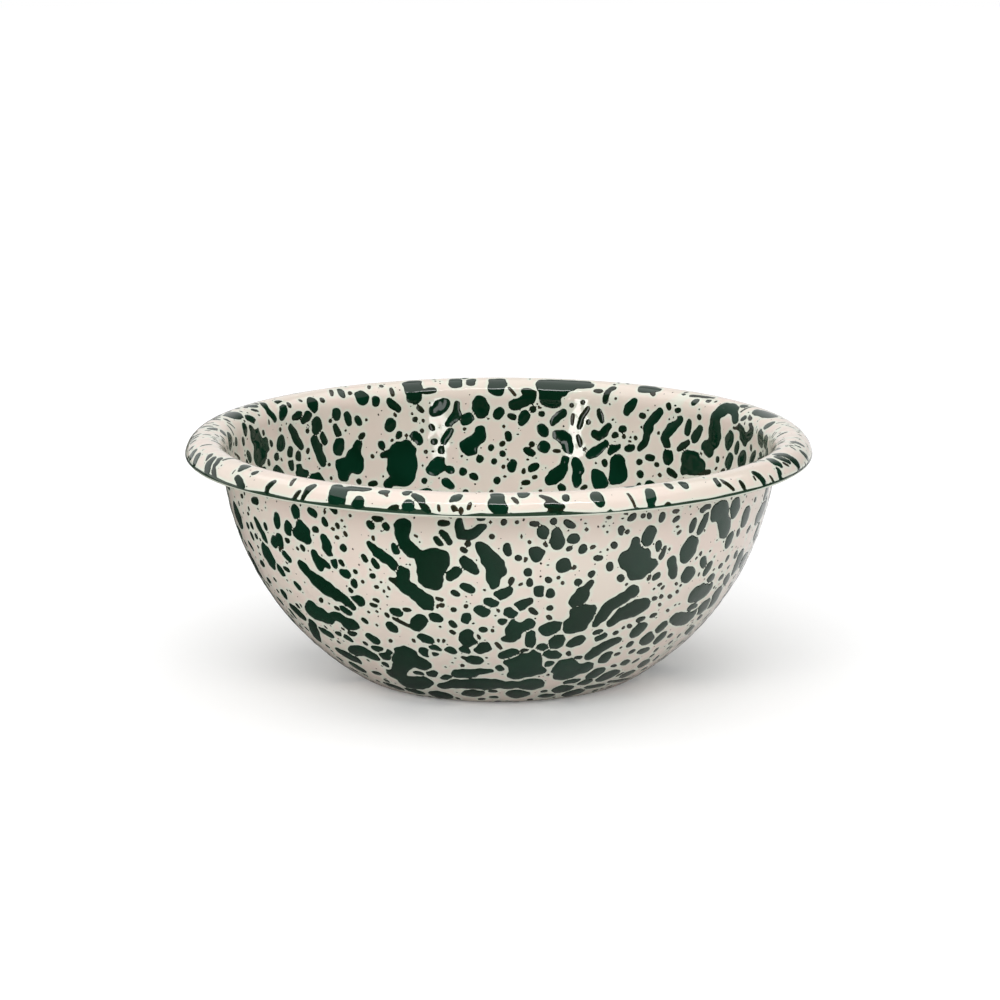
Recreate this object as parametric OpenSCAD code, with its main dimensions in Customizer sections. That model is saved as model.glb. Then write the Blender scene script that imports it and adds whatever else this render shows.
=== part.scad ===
// Cereal bowl in pressed sheet steel with a rolled rim, coated in vitreous enamel and spattered with drops.
// The bowl stands on the plane z = 0 and its axis is +Z.

/* [Bowl] */
// Diameter over the rolled rim
rim_d = 159; // [140:1:190]
// Height from the standing ring to the crest of the rim
bowl_h = 62; // [52:1:75]
// Lean of the wall from upright where it meets the rim, in degrees
wall_lean = 3.35; // [1:0.05:8]
// Radius of the corner between the wall and the standing ring
corner_r = 8; // [4:0.5:14]

/* [Rim] */
// Outer radius of the roll
roll_r = 5.25; // [4:0.05:7]
// Angle above level at which the rolled sheet is cut off, in degrees
roll_end = 8; // [0:1:40]

/* [Base] */
// Width of the flat standing ring
ring_w = 4; // [2:0.5:7]
// Rise of the base inside the standing ring
recess_h = 0.8; // [0.4:0.1:1.6]
// Radius of both bends of the step between ring and base
step_r = 3; // [2.5:0.25:5]

/* [Sheet and enamel] */
// Thickness of the steel sheet
steel_t = 0.6; // [0.4:0.05:1]
// Thickness of the dark ground coat on each side
ground_t = 0.12; // [0.08:0.01:0.2]
// Thickness of the cream cover coat on each side
cover_t = 0.18; // [0.1:0.01:0.3]

/* [Spatter] */
// Height of a fired drop above the cover coat
drop_t = 0.12; // [0.06:0.01:0.2]
// Radius of the smallest drop
drop_min_r = 1.2; // [0.6:0.1:2]
// Radius of the largest drop
drop_max_r = 5; // [2.5:0.1:5.5]
// Drops on the outside of the wall
outside_drops = 96; // [20:1:120]
// Drops on the inside of the wall
inside_drops = 84; // [20:1:110]
// Drops on each face of the base
base_drops = 14; // [6:1:16]
// Streaks over the rim
rim_drops = 56; // [10:1:90]
// Width of the widest rim streak
streak_w = 3.2; // [1:0.1:5]
// Seed of the pattern
drop_seed = 7; // [1:1:99]

/* [Hidden] */
$fn = 96;

cream = "#e2d6c8";
green = "#0e3b2a";
dark = "#20302a";
bare = "silver";

// Depths in the sheet, measured inwards from its outside face
ground_at = cover_t;
steel_at = ground_at + ground_t;
inner_ground_at = steel_at + steel_t;
inner_cover_at = inner_ground_at + ground_t;
sheet_t = inner_cover_at + cover_t;

// The roll is an arc round [roll_x, roll_z], cut at roll_end and capped by the edge bead
bead_r = sheet_t / 2;
roll_x = rim_d / 2 - bead_r - (roll_r - bead_r) * cos(roll_end);
roll_z = bowl_h - roll_r;

// The wall is part of a sphere round [0, wall_z] that runs into the roll without a kink
wall_z = roll_z + roll_x * tan(wall_lean);
wall_r = roll_x / cos(wall_lean) - roll_r + sheet_t;
inner_r = wall_r - sheet_t;

// The corner touches the sphere on one side and the standing plane on the other
corner_x = sqrt(pow(wall_r - corner_r, 2) - pow(wall_z - corner_r, 2));
corner_end = atan2(corner_r - wall_z, corner_x);

// Two equal bends step up from the ring to the base
step_turn = acos(1 - recess_h / (2 * step_r));
step_out_x = corner_x - ring_w;
step_in_x = step_out_x - 2 * step_r * sin(step_turn);

// Steps along the arcs of the section, in degrees
wall_step = 3;
roll_step = 9;
bend_step = 10;
bead_step = 12;

// Layout of the drops in degrees: turn from one to the next, its scatter, and their distance from the bends
golden_turn = 137.508;
drop_jitter = 1.5;
drop_margin = 4;
// The higher the skew, the fewer large drops there are among the small ones
drop_skew = 1.3;
drop_steps = 4;
// The higher the power, the flatter the top of a drop and the steeper its edge
dome_power = 4;

// Angles from level between which the wall carries drops
drops_low = corner_end + drop_margin;
drops_high = -wall_lean - drop_margin;

// Shortest and longest streak over the roll and the angle past which none runs, in degrees
streak_min = 22;
streak_max = 75;
streak_top = 150;
// Narrowest streak as a share of the widest, and scatter of the streaks as a share of their spacing
streak_least = 0.4;
streak_jitter = 0.5;

// Points of an arc from angle a to angle b
function arc(x, z, r, a, b, step) =
    let (n = max(2, ceil(abs(b - a) / step)))
    [for (i = [0:n]) let (t = a + (b - a) * i / n) [x + r * cos(t), z + r * sin(t)]];

// Section of the sheet at depth s below its outside face, from the axis to the cut edge of the roll
function sheet_line(s) = concat(
    [[0, recess_h + s]],
    arc(step_in_x, recess_h - step_r, step_r + s, 90, 90 - step_turn, bend_step),
    arc(step_out_x, step_r, step_r - s, 270 - step_turn, 270, bend_step),
    arc(corner_x, corner_r, corner_r - s, -90, corner_end, bend_step),
    arc(0, wall_z, wall_r - s, corner_end + wall_step / 2, -wall_lean - wall_step / 2, wall_step),
    arc(roll_x, roll_z, roll_r - sheet_t + s, 180 - wall_lean, roll_end, roll_step)
);

function reversed(list) = [for (i = [len(list) - 1:-1:0]) list[i]];

// Section of a streak between two angles on the roll
function streak_line(from, to) =
    let (seat = arc(0, 0, roll_r, from, to, roll_step), n = len(seat) - 1)
    let (rise = [for (i = [0:n]) drop_t * (1 - pow(2 * i / n - 1, dome_power))])
    let (crown = [for (i = [1:n - 1]) seat[i] * (1 + rise[i] / roll_r)])
    concat(seat, reversed(crown));

// One layer of the sheet between two depths
module layer(from, to) {
    rotate_extrude()
        polygon(concat(sheet_line(from), reversed(sheet_line(to))));
}

// Drop i of n: [turn round the axis, share of the way out or up, radius]
function drops(n, seed) =
    let (draw = rands(0, 1, 2 * n, seed))
    [for (i = [0:n - 1]) [
        i * golden_turn + drop_jitter * draw[2 * i],
        (i + 0.5) / n,
        drop_min_r + (drop_max_r - drop_min_r) * pow(draw[2 * i + 1], drop_skew)
    ]];

// A round drop with a soft edge on the pole of a sphere of radius r, standing out, or in if rise is below 0
module drop(r, size, rise) {
    span = asin(size / r);
    share = [for (i = [0:drop_steps]) i / drop_steps];
    seat = [for (k = share) r * [sin(k * span), cos(k * span)]];
    dome = [for (k = share) (r + rise * (1 - pow(k, dome_power))) * [sin(k * span), cos(k * span)]];
    rotate_extrude()
        polygon(concat(seat, reversed([for (i = [0:drop_steps - 1]) dome[i]])));
}

// Drops on a sphere of radius r round the centre of the wall
module wall_drops(r, rise, n, seed) {
    for (d = drops(n, seed)) {
        climb = asin(sin(drops_low) + (sin(drops_high) - sin(drops_low)) * d[1]);
        translate([0, 0, wall_z])
            rotate([0, 90 - climb, d[0]])
                drop(r, d[2], rise);
    }
}

// Drops on the flat of the base, between the heights z and z + drop_t, with their wide side at the sheet
module floor_drops(z, seed, hung) {
    for (d = drops(base_drops, seed))
        rotate(d[0])
            translate([(step_in_x - drop_max_r) * sqrt(d[1]), 0, z])
                cylinder(h = drop_t, r1 = d[2] - (hung ? drop_t : 0), r2 = d[2] - (hung ? 0 : drop_t));
}

module steel_body() {
    color(bare)
        layer(steel_at, inner_ground_at);
}

module inside_ground_coat() {
    color(dark)
        layer(inner_ground_at, inner_cover_at);
}

module outside_ground_coat() {
    color(dark)
        layer(ground_at, steel_at);
}

module inside_cover_coat() {
    color(cream)
        layer(inner_cover_at, sheet_t);
}

module outside_cover_coat() {
    color(cream)
        layer(0, ground_at);
}

// Bead of enamel that rounds off the cut edge of the roll
module rim_edge_bead() {
    color(green)
        rotate_extrude()
            translate([roll_x, roll_z])
                rotate(roll_end)
                    polygon(arc(roll_r - bead_r, 0, bead_r, 180, 360, bead_step));
}

module inside_spatter() {
    seat_r = inner_r * cos(wall_step / 2);
    color(green) {
        wall_drops(seat_r, -drop_t, inside_drops, drop_seed);
        floor_drops(recess_h + sheet_t, drop_seed + 1, false);
    }
}

module outside_spatter() {
    color(green)
        wall_drops(wall_r, drop_t, outside_drops, drop_seed + 2);
}

// Streaks that run over the roll, thick in the middle and thin at both ends
module rim_spatter() {
    draw = rands(0, 1, 3 * rim_drops, drop_seed + 3);
    color(green)
        for (i = [0:rim_drops - 1]) {
            from = roll_end + (streak_top - roll_end - streak_max) * draw[3 * i];
            to = from + streak_min + (streak_max - streak_min) * draw[3 * i + 1];
            wide = streak_w * (streak_least + (1 - streak_least) * draw[3 * i + 2]);
            rotate((i + streak_jitter * draw[3 * i + 2]) * 360 / rim_drops)
                rotate_extrude(angle = wide / (roll_x + roll_r) * 180 / PI)
                    translate([roll_x, roll_z])
                        polygon(streak_line(from, to));
        }
}

module base_spatter() {
    color(green)
        floor_drops(recess_h - drop_t, drop_seed + 4, true);
}

steel_body();
inside_ground_coat();
outside_ground_coat();
inside_cover_coat();
outside_cover_coat();
rim_edge_bead();
inside_spatter();
outside_spatter();
rim_spatter();
base_spatter();
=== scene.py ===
import math

import bpy
import numpy as np
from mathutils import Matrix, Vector
from mathutils.bvhtree import BVHTree


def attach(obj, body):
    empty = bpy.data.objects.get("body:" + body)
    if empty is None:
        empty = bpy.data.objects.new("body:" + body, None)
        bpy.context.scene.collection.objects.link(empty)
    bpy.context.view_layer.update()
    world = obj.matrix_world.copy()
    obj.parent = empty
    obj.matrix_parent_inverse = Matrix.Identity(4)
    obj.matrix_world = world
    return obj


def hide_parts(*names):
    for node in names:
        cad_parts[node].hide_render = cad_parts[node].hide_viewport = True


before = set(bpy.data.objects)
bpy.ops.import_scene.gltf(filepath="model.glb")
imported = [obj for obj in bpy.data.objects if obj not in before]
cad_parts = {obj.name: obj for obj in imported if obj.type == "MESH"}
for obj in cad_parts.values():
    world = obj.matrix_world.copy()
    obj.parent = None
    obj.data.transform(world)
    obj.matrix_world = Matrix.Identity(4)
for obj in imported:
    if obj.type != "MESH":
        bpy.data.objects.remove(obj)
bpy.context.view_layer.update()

print("frame loaded,", len(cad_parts), "CAD nodes")

# Camera at the photograph's angle, in metres and degrees
view = {
    "distance": 1.2,
    "elevation": 12.70,
    "pitch": 12.126,
    "aside": 0.0003,
    "aimZ": 0.032,
    "lens": 169.3,
    "sensor": 36.0,
    "pixels": 1000,  # the image is square
}


def makeCamera(v):
    data = bpy.data.cameras.new("view")
    data.lens, data.sensor_width = v["lens"], v["sensor"]
    thing = bpy.data.objects.new("view", data)
    rise = math.radians(v["elevation"])
    up = v["aimZ"] + v["distance"] * math.sin(rise)
    thing.location = (v["aside"], -v["distance"] * math.cos(rise), up)
    thing.rotation_euler = (math.radians(90 - v["pitch"]), 0, 0)
    bpy.context.scene.collection.objects.link(thing)
    bpy.context.scene.camera = thing
    return thing


camera = makeCamera(view)

# Section of the bowl in mm and degrees, with the CAD part's own values
bowl = {
    "rimD": 159.0,
    "height": 62.0,
    "wallLean": 3.35,
    "cornerR": 8.0,
    "rollR": 5.25,
    "rollEnd": 8.0,
    "ringW": 4.0,
    "recessH": 0.8,
    "stepR": 3.0,
    "sheetT": 1.2,
    "coverT": 0.18,
    "rowGap": {"base": 0.6, "stepIn": 0.5, "stepOut": 0.5, "corner": 0.52, "wall": 0.52, "roll": 0.34},
    "columns": 880,   # round the bowl; a half of them is left out each time its circle halves
    "fullX": 40.0,    # mm from the axis where that starts
    "halvings": 5,
    "axisX": 0.5,     # mm, no circle counts as smaller
    "meet": 0.05,     # mm, nearer points of two arcs are one point
    "flatFrom": 1.5,  # a step of more base gaps than this is a flat stretch
}


def bowlArcs(b):
    # centre x and z, radius of the outside face, which way its normal points, first and last angle
    beadR = b["sheetT"] / 2
    end = math.radians(b["rollEnd"])
    lean = math.radians(b["wallLean"])
    rollX = b["rimD"] / 2 - beadR - (b["rollR"] - beadR) * math.cos(end)
    rollZ = b["height"] - b["rollR"]
    wallZ = rollZ + rollX * math.tan(lean)
    wallR = rollX / math.cos(lean) - b["rollR"] + b["sheetT"]
    cornerX = math.sqrt((wallR - b["cornerR"]) ** 2 - (wallZ - b["cornerR"]) ** 2)
    cornerEnd = math.degrees(math.atan2(b["cornerR"] - wallZ, cornerX))
    stepTurn = math.degrees(math.acos(1 - b["recessH"] / (2 * b["stepR"])))
    stepOutX = cornerX - b["ringW"]
    stepInX = stepOutX - 2 * b["stepR"] * math.sin(math.radians(stepTurn))
    return {
        "stepIn": (stepInX, b["recessH"] - b["stepR"], b["stepR"], -1, 90, 90 - stepTurn),
        "stepOut": (stepOutX, b["stepR"], b["stepR"], 1, 270 - stepTurn, 270),
        "corner": (cornerX, b["cornerR"], b["cornerR"], 1, -90, cornerEnd),
        "wall": (0, wallZ, wallR, 1, cornerEnd, -b["wallLean"]),
        "roll": (rollX, rollZ, b["rollR"] - b["sheetT"], -1, 180 - b["wallLean"], b["rollEnd"]),
    }


arcs = bowlArcs(bowl)


def wayAlong(x, z):
    return np.concatenate([[0], np.cumsum(np.hypot(np.diff(x), np.diff(z)))])


def makeSkin(depth, side, seed):
    # rows from the axis to the cut edge on the face at this depth; side 1 faces out of the bowl, -1 into it
    rows = [(0.0, bowl["recessH"] + depth, 0.0, -side, "base")]
    flatGap = bowl["rowGap"]["base"]
    for zone, (cx, cz, outR, sign, first, last) in arcs.items():
        r = outR - sign * depth
        facing = side * sign
        steps = max(3, math.ceil(abs(math.radians(last - first)) * r / bowl["rowGap"][zone]))
        for k in range(steps + 1):
            t = math.radians(first + (last - first) * k / steps)
            c, s = math.cos(t), math.sin(t)
            row = (cx + r * c, cz + r * s, facing * c, facing * s, zone)
            old = rows[-1]
            far = math.dist(row[:2], old[:2])
            if far < bowl["meet"]:
                continue
            lots = math.ceil(far / flatGap) if far > bowl["flatFrom"] * flatGap else 1
            for m in range(1, lots):
                mix = [p + (q - p) * m / lots for p, q in zip(old[:4], row[:4])]
                rows.append((*mix, "base" if old[4] == "base" else "corner"))
            rows.append(row)
    x, z, nx, nz = (np.array([row[k] for row in rows]) for k in range(4))
    shape = (len(rows), bowl["columns"])
    return {
        "x": x, "z": z, "nx": nx, "nz": nz,
        "zone": np.array([row[4] for row in rows]),
        "along": wayAlong(x, z),
        "side": side,
        "gap": np.full(shape, pools["bare"]),  # mm from the edge of the nearest drop, above 0 inside it
        "size": np.full(shape, pools["bareSize"]),  # half width of that drop
        "home": np.zeros(shape, int),  # which piece that drop belongs to
        "rng": np.random.default_rng(seed),
    }


columnTurn = np.arange(bowl["columns"]) * 2 * np.pi / bowl["columns"]


def around(x, z, turn):
    # the section turned about the axis; turn 0 is the front, and it grows towards +X
    return np.stack([x * np.sin(turn), -x * np.cos(turn), z + 0 * turn], axis=-1)


def skinPoints(skin, rows, turn):
    return around(skin["x"][rows], skin["z"][rows], turn)


def pointAt(skin, turn, along):
    x, z = (np.interp(along, skin["along"], skin[key]) for key in ("x", "z"))
    return around(x, z, turn)


# Readings off the photograph, laid on the coat through the camera, in mm
cast = {
    "mmPerPixel": 0.26,
    "slant": 3.0,      # how far a slanting face may draw out a drop
    "spare": 1.0,
    "least": 0.1,      # smallest half width
    "swell": 0.09,     # the readings keep inside the soft edge of a drop
    "behind": 0.5,     # a spot this far behind the first face is hidden
    "wallSpare": 0.3,  # how far past the wall's top the outside is still read
}


def coatTree(nodeName):
    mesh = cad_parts[nodeName].data
    return BVHTree.FromPolygons([v.co for v in mesh.vertices], [tuple(p.vertices) for p in mesh.polygons])


def seenAt(skin, pixel):
    # where the ray through a pixel meets the skin's coat, in mm
    perPixel = view["sensor"] / view["lens"] / view["pixels"]
    x, y = (pixel - view["pixels"] / 2) * perPixel
    way = camera.rotation_euler.to_matrix() @ Vector((x, -y, -1))
    hit = skin["tree"].ray_cast(camera.location, way.normalized())[0]
    if hit is None or math.hypot(hit.x, hit.y) * 1000 > skin["reach"]:
        return None
    return np.array(hit) * 1000


def hiddenAt(spot):
    # whether the bowl itself hides this spot from the camera
    way = Vector(spot * 0.001) - camera.location
    hits = [skin["tree"].ray_cast(camera.location, way.normalized())[3] for skin in (outside, inside)]
    nearest = min((far for far in hits if far is not None), default=way.length)
    return nearest < way.length - cast["behind"] * 0.001


def seenPart(skin, part):
    # (x, y, width) or (x, y, x, y, width) in pixels becomes start, end and half width on the coat
    a, b, wide = np.array(part[:2], float), np.array(part[-3:-1], float), part[-1]
    middle, run = (a + b) / 2, b - a
    length = np.hypot(*run)
    way = run / length if length > 0 else np.array([1.0, 0.0])
    spot = seenAt(skin, middle)
    if spot is None:
        return None
    axes = []
    for half in (way * (length + wide) / 2, np.array([-way[1], way[0]]) * wide / 2):
        farthest = np.hypot(*half) * cast["mmPerPixel"] * cast["slant"] + cast["spare"]
        ends = []
        for pixel in (middle - half, middle + half):
            end = seenAt(skin, pixel)
            if end is not None and np.linalg.norm(end - spot) < farthest:
                ends.append(end)
        if len(ends) == 2:
            axes.append((ends[1] - ends[0]) / 2)
        elif ends:
            axes.append(ends[0] - spot)
    squares, ways = np.linalg.eigh(sum((np.outer(axis, axis) for axis in axes), np.zeros((3, 3))))
    r, longest = np.sqrt(np.maximum(squares[1:], cast["least"] ** 2))
    stretch = ways[:, 2] * (longest - r)
    return spot - stretch, spot + stretch, r + cast["swell"]


pools = {
    "bare": -9.0,        # distance that stands for no drop, and the size that goes with it
    "bareSize": 0.5,
    "outOfPool": -99.0,
    "reach": 2.5,        # mm round a drop that its distance is kept for
    "blend": 1.3,        # mm over which the parts of a pool run together
    "blendFrom": 1.5,    # mm, half width from which they do so fully
    "bud": 0.5,          # mm over which a small drop joins a large one
    "budOff": 0.6,       # how far from the outline a bud may be, in its half widths
    "budOn": 1.5,        # how much larger the drop under it is
    "oval": 0.18,        # how far the ends of a long drop are drawn in
    "link": 2.5,         # mm, a long drop follows the face in links of this length
    "flatX": 12.0,       # mm from the axis within which a drop is straight
    "turnX": 3.0,        # mm, a drop's turn is reckoned at least this far from the axis
    "seam": 0.38,        # mm, half the line of cream between two pools
    "seamSlope": 0.7,
    "wobble": 0.13,      # mm that an outline wanders
    "wobbleFrom": 1.6,   # mm, half width from which it does so fully
    "wobbleLeast": 0.25,
    "wobbleWaves": 40,
    "waves": (1.6, 6.0),
    "cut": (0.03, 0.97),  # the outline keeps off the grid's own points by this share of a step
    "height": 0.06,      # how far a drop stands proud, as a share of its half width
    "edge": (0.6, 1.8),  # mm, limits of the half width that this counts with
    "sink": 0.03,        # mm that a drop goes into the coat
    "lift": 0.004,
    "rimHeight": 0.3,    # share of its height that a drop has on the roll
    "rimFade": 3.0,      # mm over which it gets there
    "edgeFade": 2.5,     # mm from the cut edge over which the relief dies out
    "clear": 0.12,       # mm over the table below which the outside stays bare
    "worn": -3.0,        # distance to a drop that stands for bare
}


def chain(skin, part):
    # links of one part, each with its ends and its shares of the whole length
    start, end, r = part
    a, b = pointAt(skin, *start), pointAt(skin, *end)
    length = np.linalg.norm(b - a)
    flat = min(np.hypot(*a[:2]), np.hypot(*b[:2])) < pools["flatX"]
    links = 1 if flat else max(1, math.ceil(length / pools["link"]))
    shares = np.linspace(0, 1, links + 1)
    stops = [pointAt(skin, *(start + (end - start) * share)) for share in shares]
    stops[0], stops[-1] = a, b
    return length, list(zip(stops[:-1], stops[1:], shares[:-1], shares[1:]))


def stampPool(skin, parts, home, join=False):
    # parts are (start, end, half width), with turn and way along the section; one pool's parts run together
    ends = np.array([end for start, stop, _ in parts for end in (start, stop)])
    near = max(r for _, _, r in parts) + pools["reach"]
    low, high = ends.min(0), ends.max(0)
    rows = np.arange(*np.searchsorted(skin["along"], [low[1] - near, high[1] + near]))
    spare = near / max(skin["x"][rows].min(), bowl["axisX"])
    perColumn = 2 * np.pi / bowl["columns"]
    first = math.floor((low[0] - spare) / perColumn)
    last = math.ceil((high[0] + spare) / perColumn)
    columns = np.arange(first, min(last + 1, first + bowl["columns"])) % bowl["columns"]
    spots = skinPoints(skin, rows[:, None], columnTurn[columns][None, :])
    shape = np.full(spots.shape[:-1], pools["outOfPool"])
    widest = np.zeros(spots.shape[:-1])
    for part in parts:
        r = part[2]
        length, links = chain(skin, part)
        drawn = pools["oval"] * min(1, length / (2 * r))
        inPart = np.full(shape.shape, pools["outOfPool"])
        for a, b, shareA, shareB in links:
            run = b - a
            share = np.clip((spots - a) @ run / max(run @ run, 1e-9), 0, 1)
            far = np.linalg.norm(spots - a - share[..., None] * run, axis=-1)
            share = shareA + (shareB - shareA) * share
            inPart = np.maximum(inPart, r * (1 - drawn * (2 * share - 1) ** 2) - far)
        blend = pools["blend"] * min(1, r / pools["blendFrom"])
        widest = np.where(inPart > shape, r, widest)
        joined = np.clip(1 - np.abs(shape - inPart) / blend, 0, 1)
        shape = np.maximum(shape, inPart) + blend / 4 * joined ** 2
    cell = np.ix_(rows, columns)
    old = skin["gap"][cell]
    skin["size"][cell] = np.where(shape > old, widest, skin["size"][cell])
    skin["home"][cell] = np.where(shape > old, home, skin["home"][cell])
    both = np.maximum(old, shape)
    if join:
        joined = np.clip(1 - np.abs(old - shape) / pools["bud"], 0, 1)
        skin["gap"][cell] = both + pools["bud"] / 4 * joined ** 2
        return
    # a thin line of cream stays between two pools
    seam = np.abs(old - shape) * pools["seamSlope"] - pools["seam"]
    close = np.minimum(old, shape) > -2 * pools["seam"]
    skin["gap"][cell] = np.where(close, np.minimum(both, seam), both)


def onSkin(skin, spot, nearTurn):
    # turn and way along the section of a spot in mm
    away = (math.hypot(spot[0], spot[1]) - skin["x"]) ** 2 + (spot[2] - skin["z"]) ** 2
    turn = math.atan2(spot[0], -spot[1])
    turn = nearTurn + (turn - nearTurn + math.pi) % (2 * math.pi) - math.pi
    return np.array([turn, skin["along"][away.argmin()]])


def placeDrops(skin, drops):
    placed = 0
    for pool in drops["seen"]:
        spots = [seenPart(skin, part) for part in pool]
        spots = [spot for spot in spots if spot is not None]
        if not spots:
            continue
        middle = math.atan2(spots[0][0][0], -spots[0][0][1])
        parts = [(onSkin(skin, a, middle), onSkin(skin, b, middle), r) for a, b, r in spots]
        stampPool(skin, parts, drops["home"])
        placed += 1
    return placed


def between(limits, share):
    return limits[0] + (limits[1] - limits[0]) * share


def zoneRows(skin, zones):
    # rows of these zones, and the area up to each of them
    rows = np.nonzero(np.isin(skin["zone"], zones))[0]
    return rows, np.cumsum(skin["x"][rows] * np.gradient(skin["along"])[rows])


def scatterDrops(skin, lay, home):
    # large drops first; a drop goes where the gap to its neighbours allows
    rng = skin["rng"]
    rows, weight = zoneRows(skin, lay["zones"])
    sizes = np.sort(between(lay["r"], rng.random(lay["tries"]) ** lay["skew"]))[::-1]
    draws = rng.random((lay["tries"], 5))
    placed = 0
    for r, (pick, side, way, stretch, crowd) in zip(sizes, draws):
        j = rows[min(np.searchsorted(weight, pick * weight[-1]), len(rows) - 1)]
        turn = math.radians(between(lay.get("turn", allRound), side))
        i = round(turn / (2 * math.pi) * bowl["columns"]) % bowl["columns"]
        gap, join = skin["gap"][j, i], lay.get("join", False)
        if join and (abs(gap) > pools["budOff"] * r or skin["size"][j, i] < pools["budOn"] * r):
            continue  # a bud goes on the edge of a larger drop
        if not join and gap > -r * between(lay["crowd"], crowd):
            continue
        if lay.get("hidden", False) and not hiddenAt(pointAt(skin, turn, skin["along"][j])):
            continue
        half = r * lay["stretch"] * stretch ** 2
        angle = lay.get("way", 0) + (way - 0.5) * math.pi * lay.get("spread", 1)
        radius = max(skin["x"][j], pools["turnX"])
        reach = np.array([half * math.cos(angle) / radius, half * math.sin(angle)])
        middle = np.array([turn, skin["along"][j]])
        stampPool(skin, [(middle - reach, middle + reach, r)], skin["home"][j, i] if join else home, join)
        placed += 1
    return placed


def ripple(points, rng, shortest, longest, waves=26):
    # smooth noise of about +-1 made of sine waves, wave lengths in mm
    way = rng.normal(size=(waves, 3))
    way /= np.linalg.norm(way, axis=1)[:, None]
    length = shortest * (longest / shortest) ** rng.random(waves)
    phase = rng.random(waves) * 2 * np.pi
    total = np.zeros(points.shape[:-1])
    for k in range(waves):
        total += np.sin(points @ (way[k] * 2 * np.pi / length[k]) + phase[k])
    return total / math.sqrt(waves / 2)


def wobbleOutlines(skin):
    spots = skinPoints(skin, np.arange(len(skin["x"]))[:, None], columnTurn[None, :])
    wander = ripple(spots, skin["rng"], *pools["waves"], waves=pools["wobbleWaves"])
    share = np.clip(skin["size"] / pools["wobbleFrom"], pools["wobbleLeast"], 1)
    skin["gap"] += pools["wobble"] * wander * share


def gridTriangles(skin):
    # triangles between the rows, with fewer columns where the circles are small
    columns = bowl["columns"]
    halves = np.floor(np.log2(bowl["fullX"] / np.maximum(skin["x"], bowl["axisX"]))) + 1
    steps = (2 ** np.clip(halves, 0, bowl["halvings"])).astype(int)
    found = []
    for j in range(1, len(steps) - 1):
        low, high = steps[j], steps[j + 1]
        a = j * columns + np.arange(0, columns, max(low, high))
        start = j * columns

        def after(node, step):
            return start + (node - start + step) % columns

        if low == high:
            b = after(a, low)
            flip = (np.arange(len(a)) + j) % 2 == 0
            pick = lambda one, two: np.stack([np.where(flip, p, q) for p, q in zip(one, two)], -1)
            c, d = b + columns, a + columns
            found += [pick((a, b, c), (a, b, d)), pick((a, c, d), (b, c, d))]
        else:
            small, big = min(low, high), max(low, high)
            coarse, fine = (0, columns) if low > high else (columns, 0)
            p, q = a + coarse, after(a, big) + coarse
            r, s, t = a + fine, after(a, small) + fine, after(a, big) + fine
            sheets = [np.stack(corners, -1) for corners in ((p, s, r), (p, q, s), (q, t, s))]
            found += sheets if low > high else [sheet[:, ::-1] for sheet in sheets]
    return np.concatenate(found)


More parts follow.
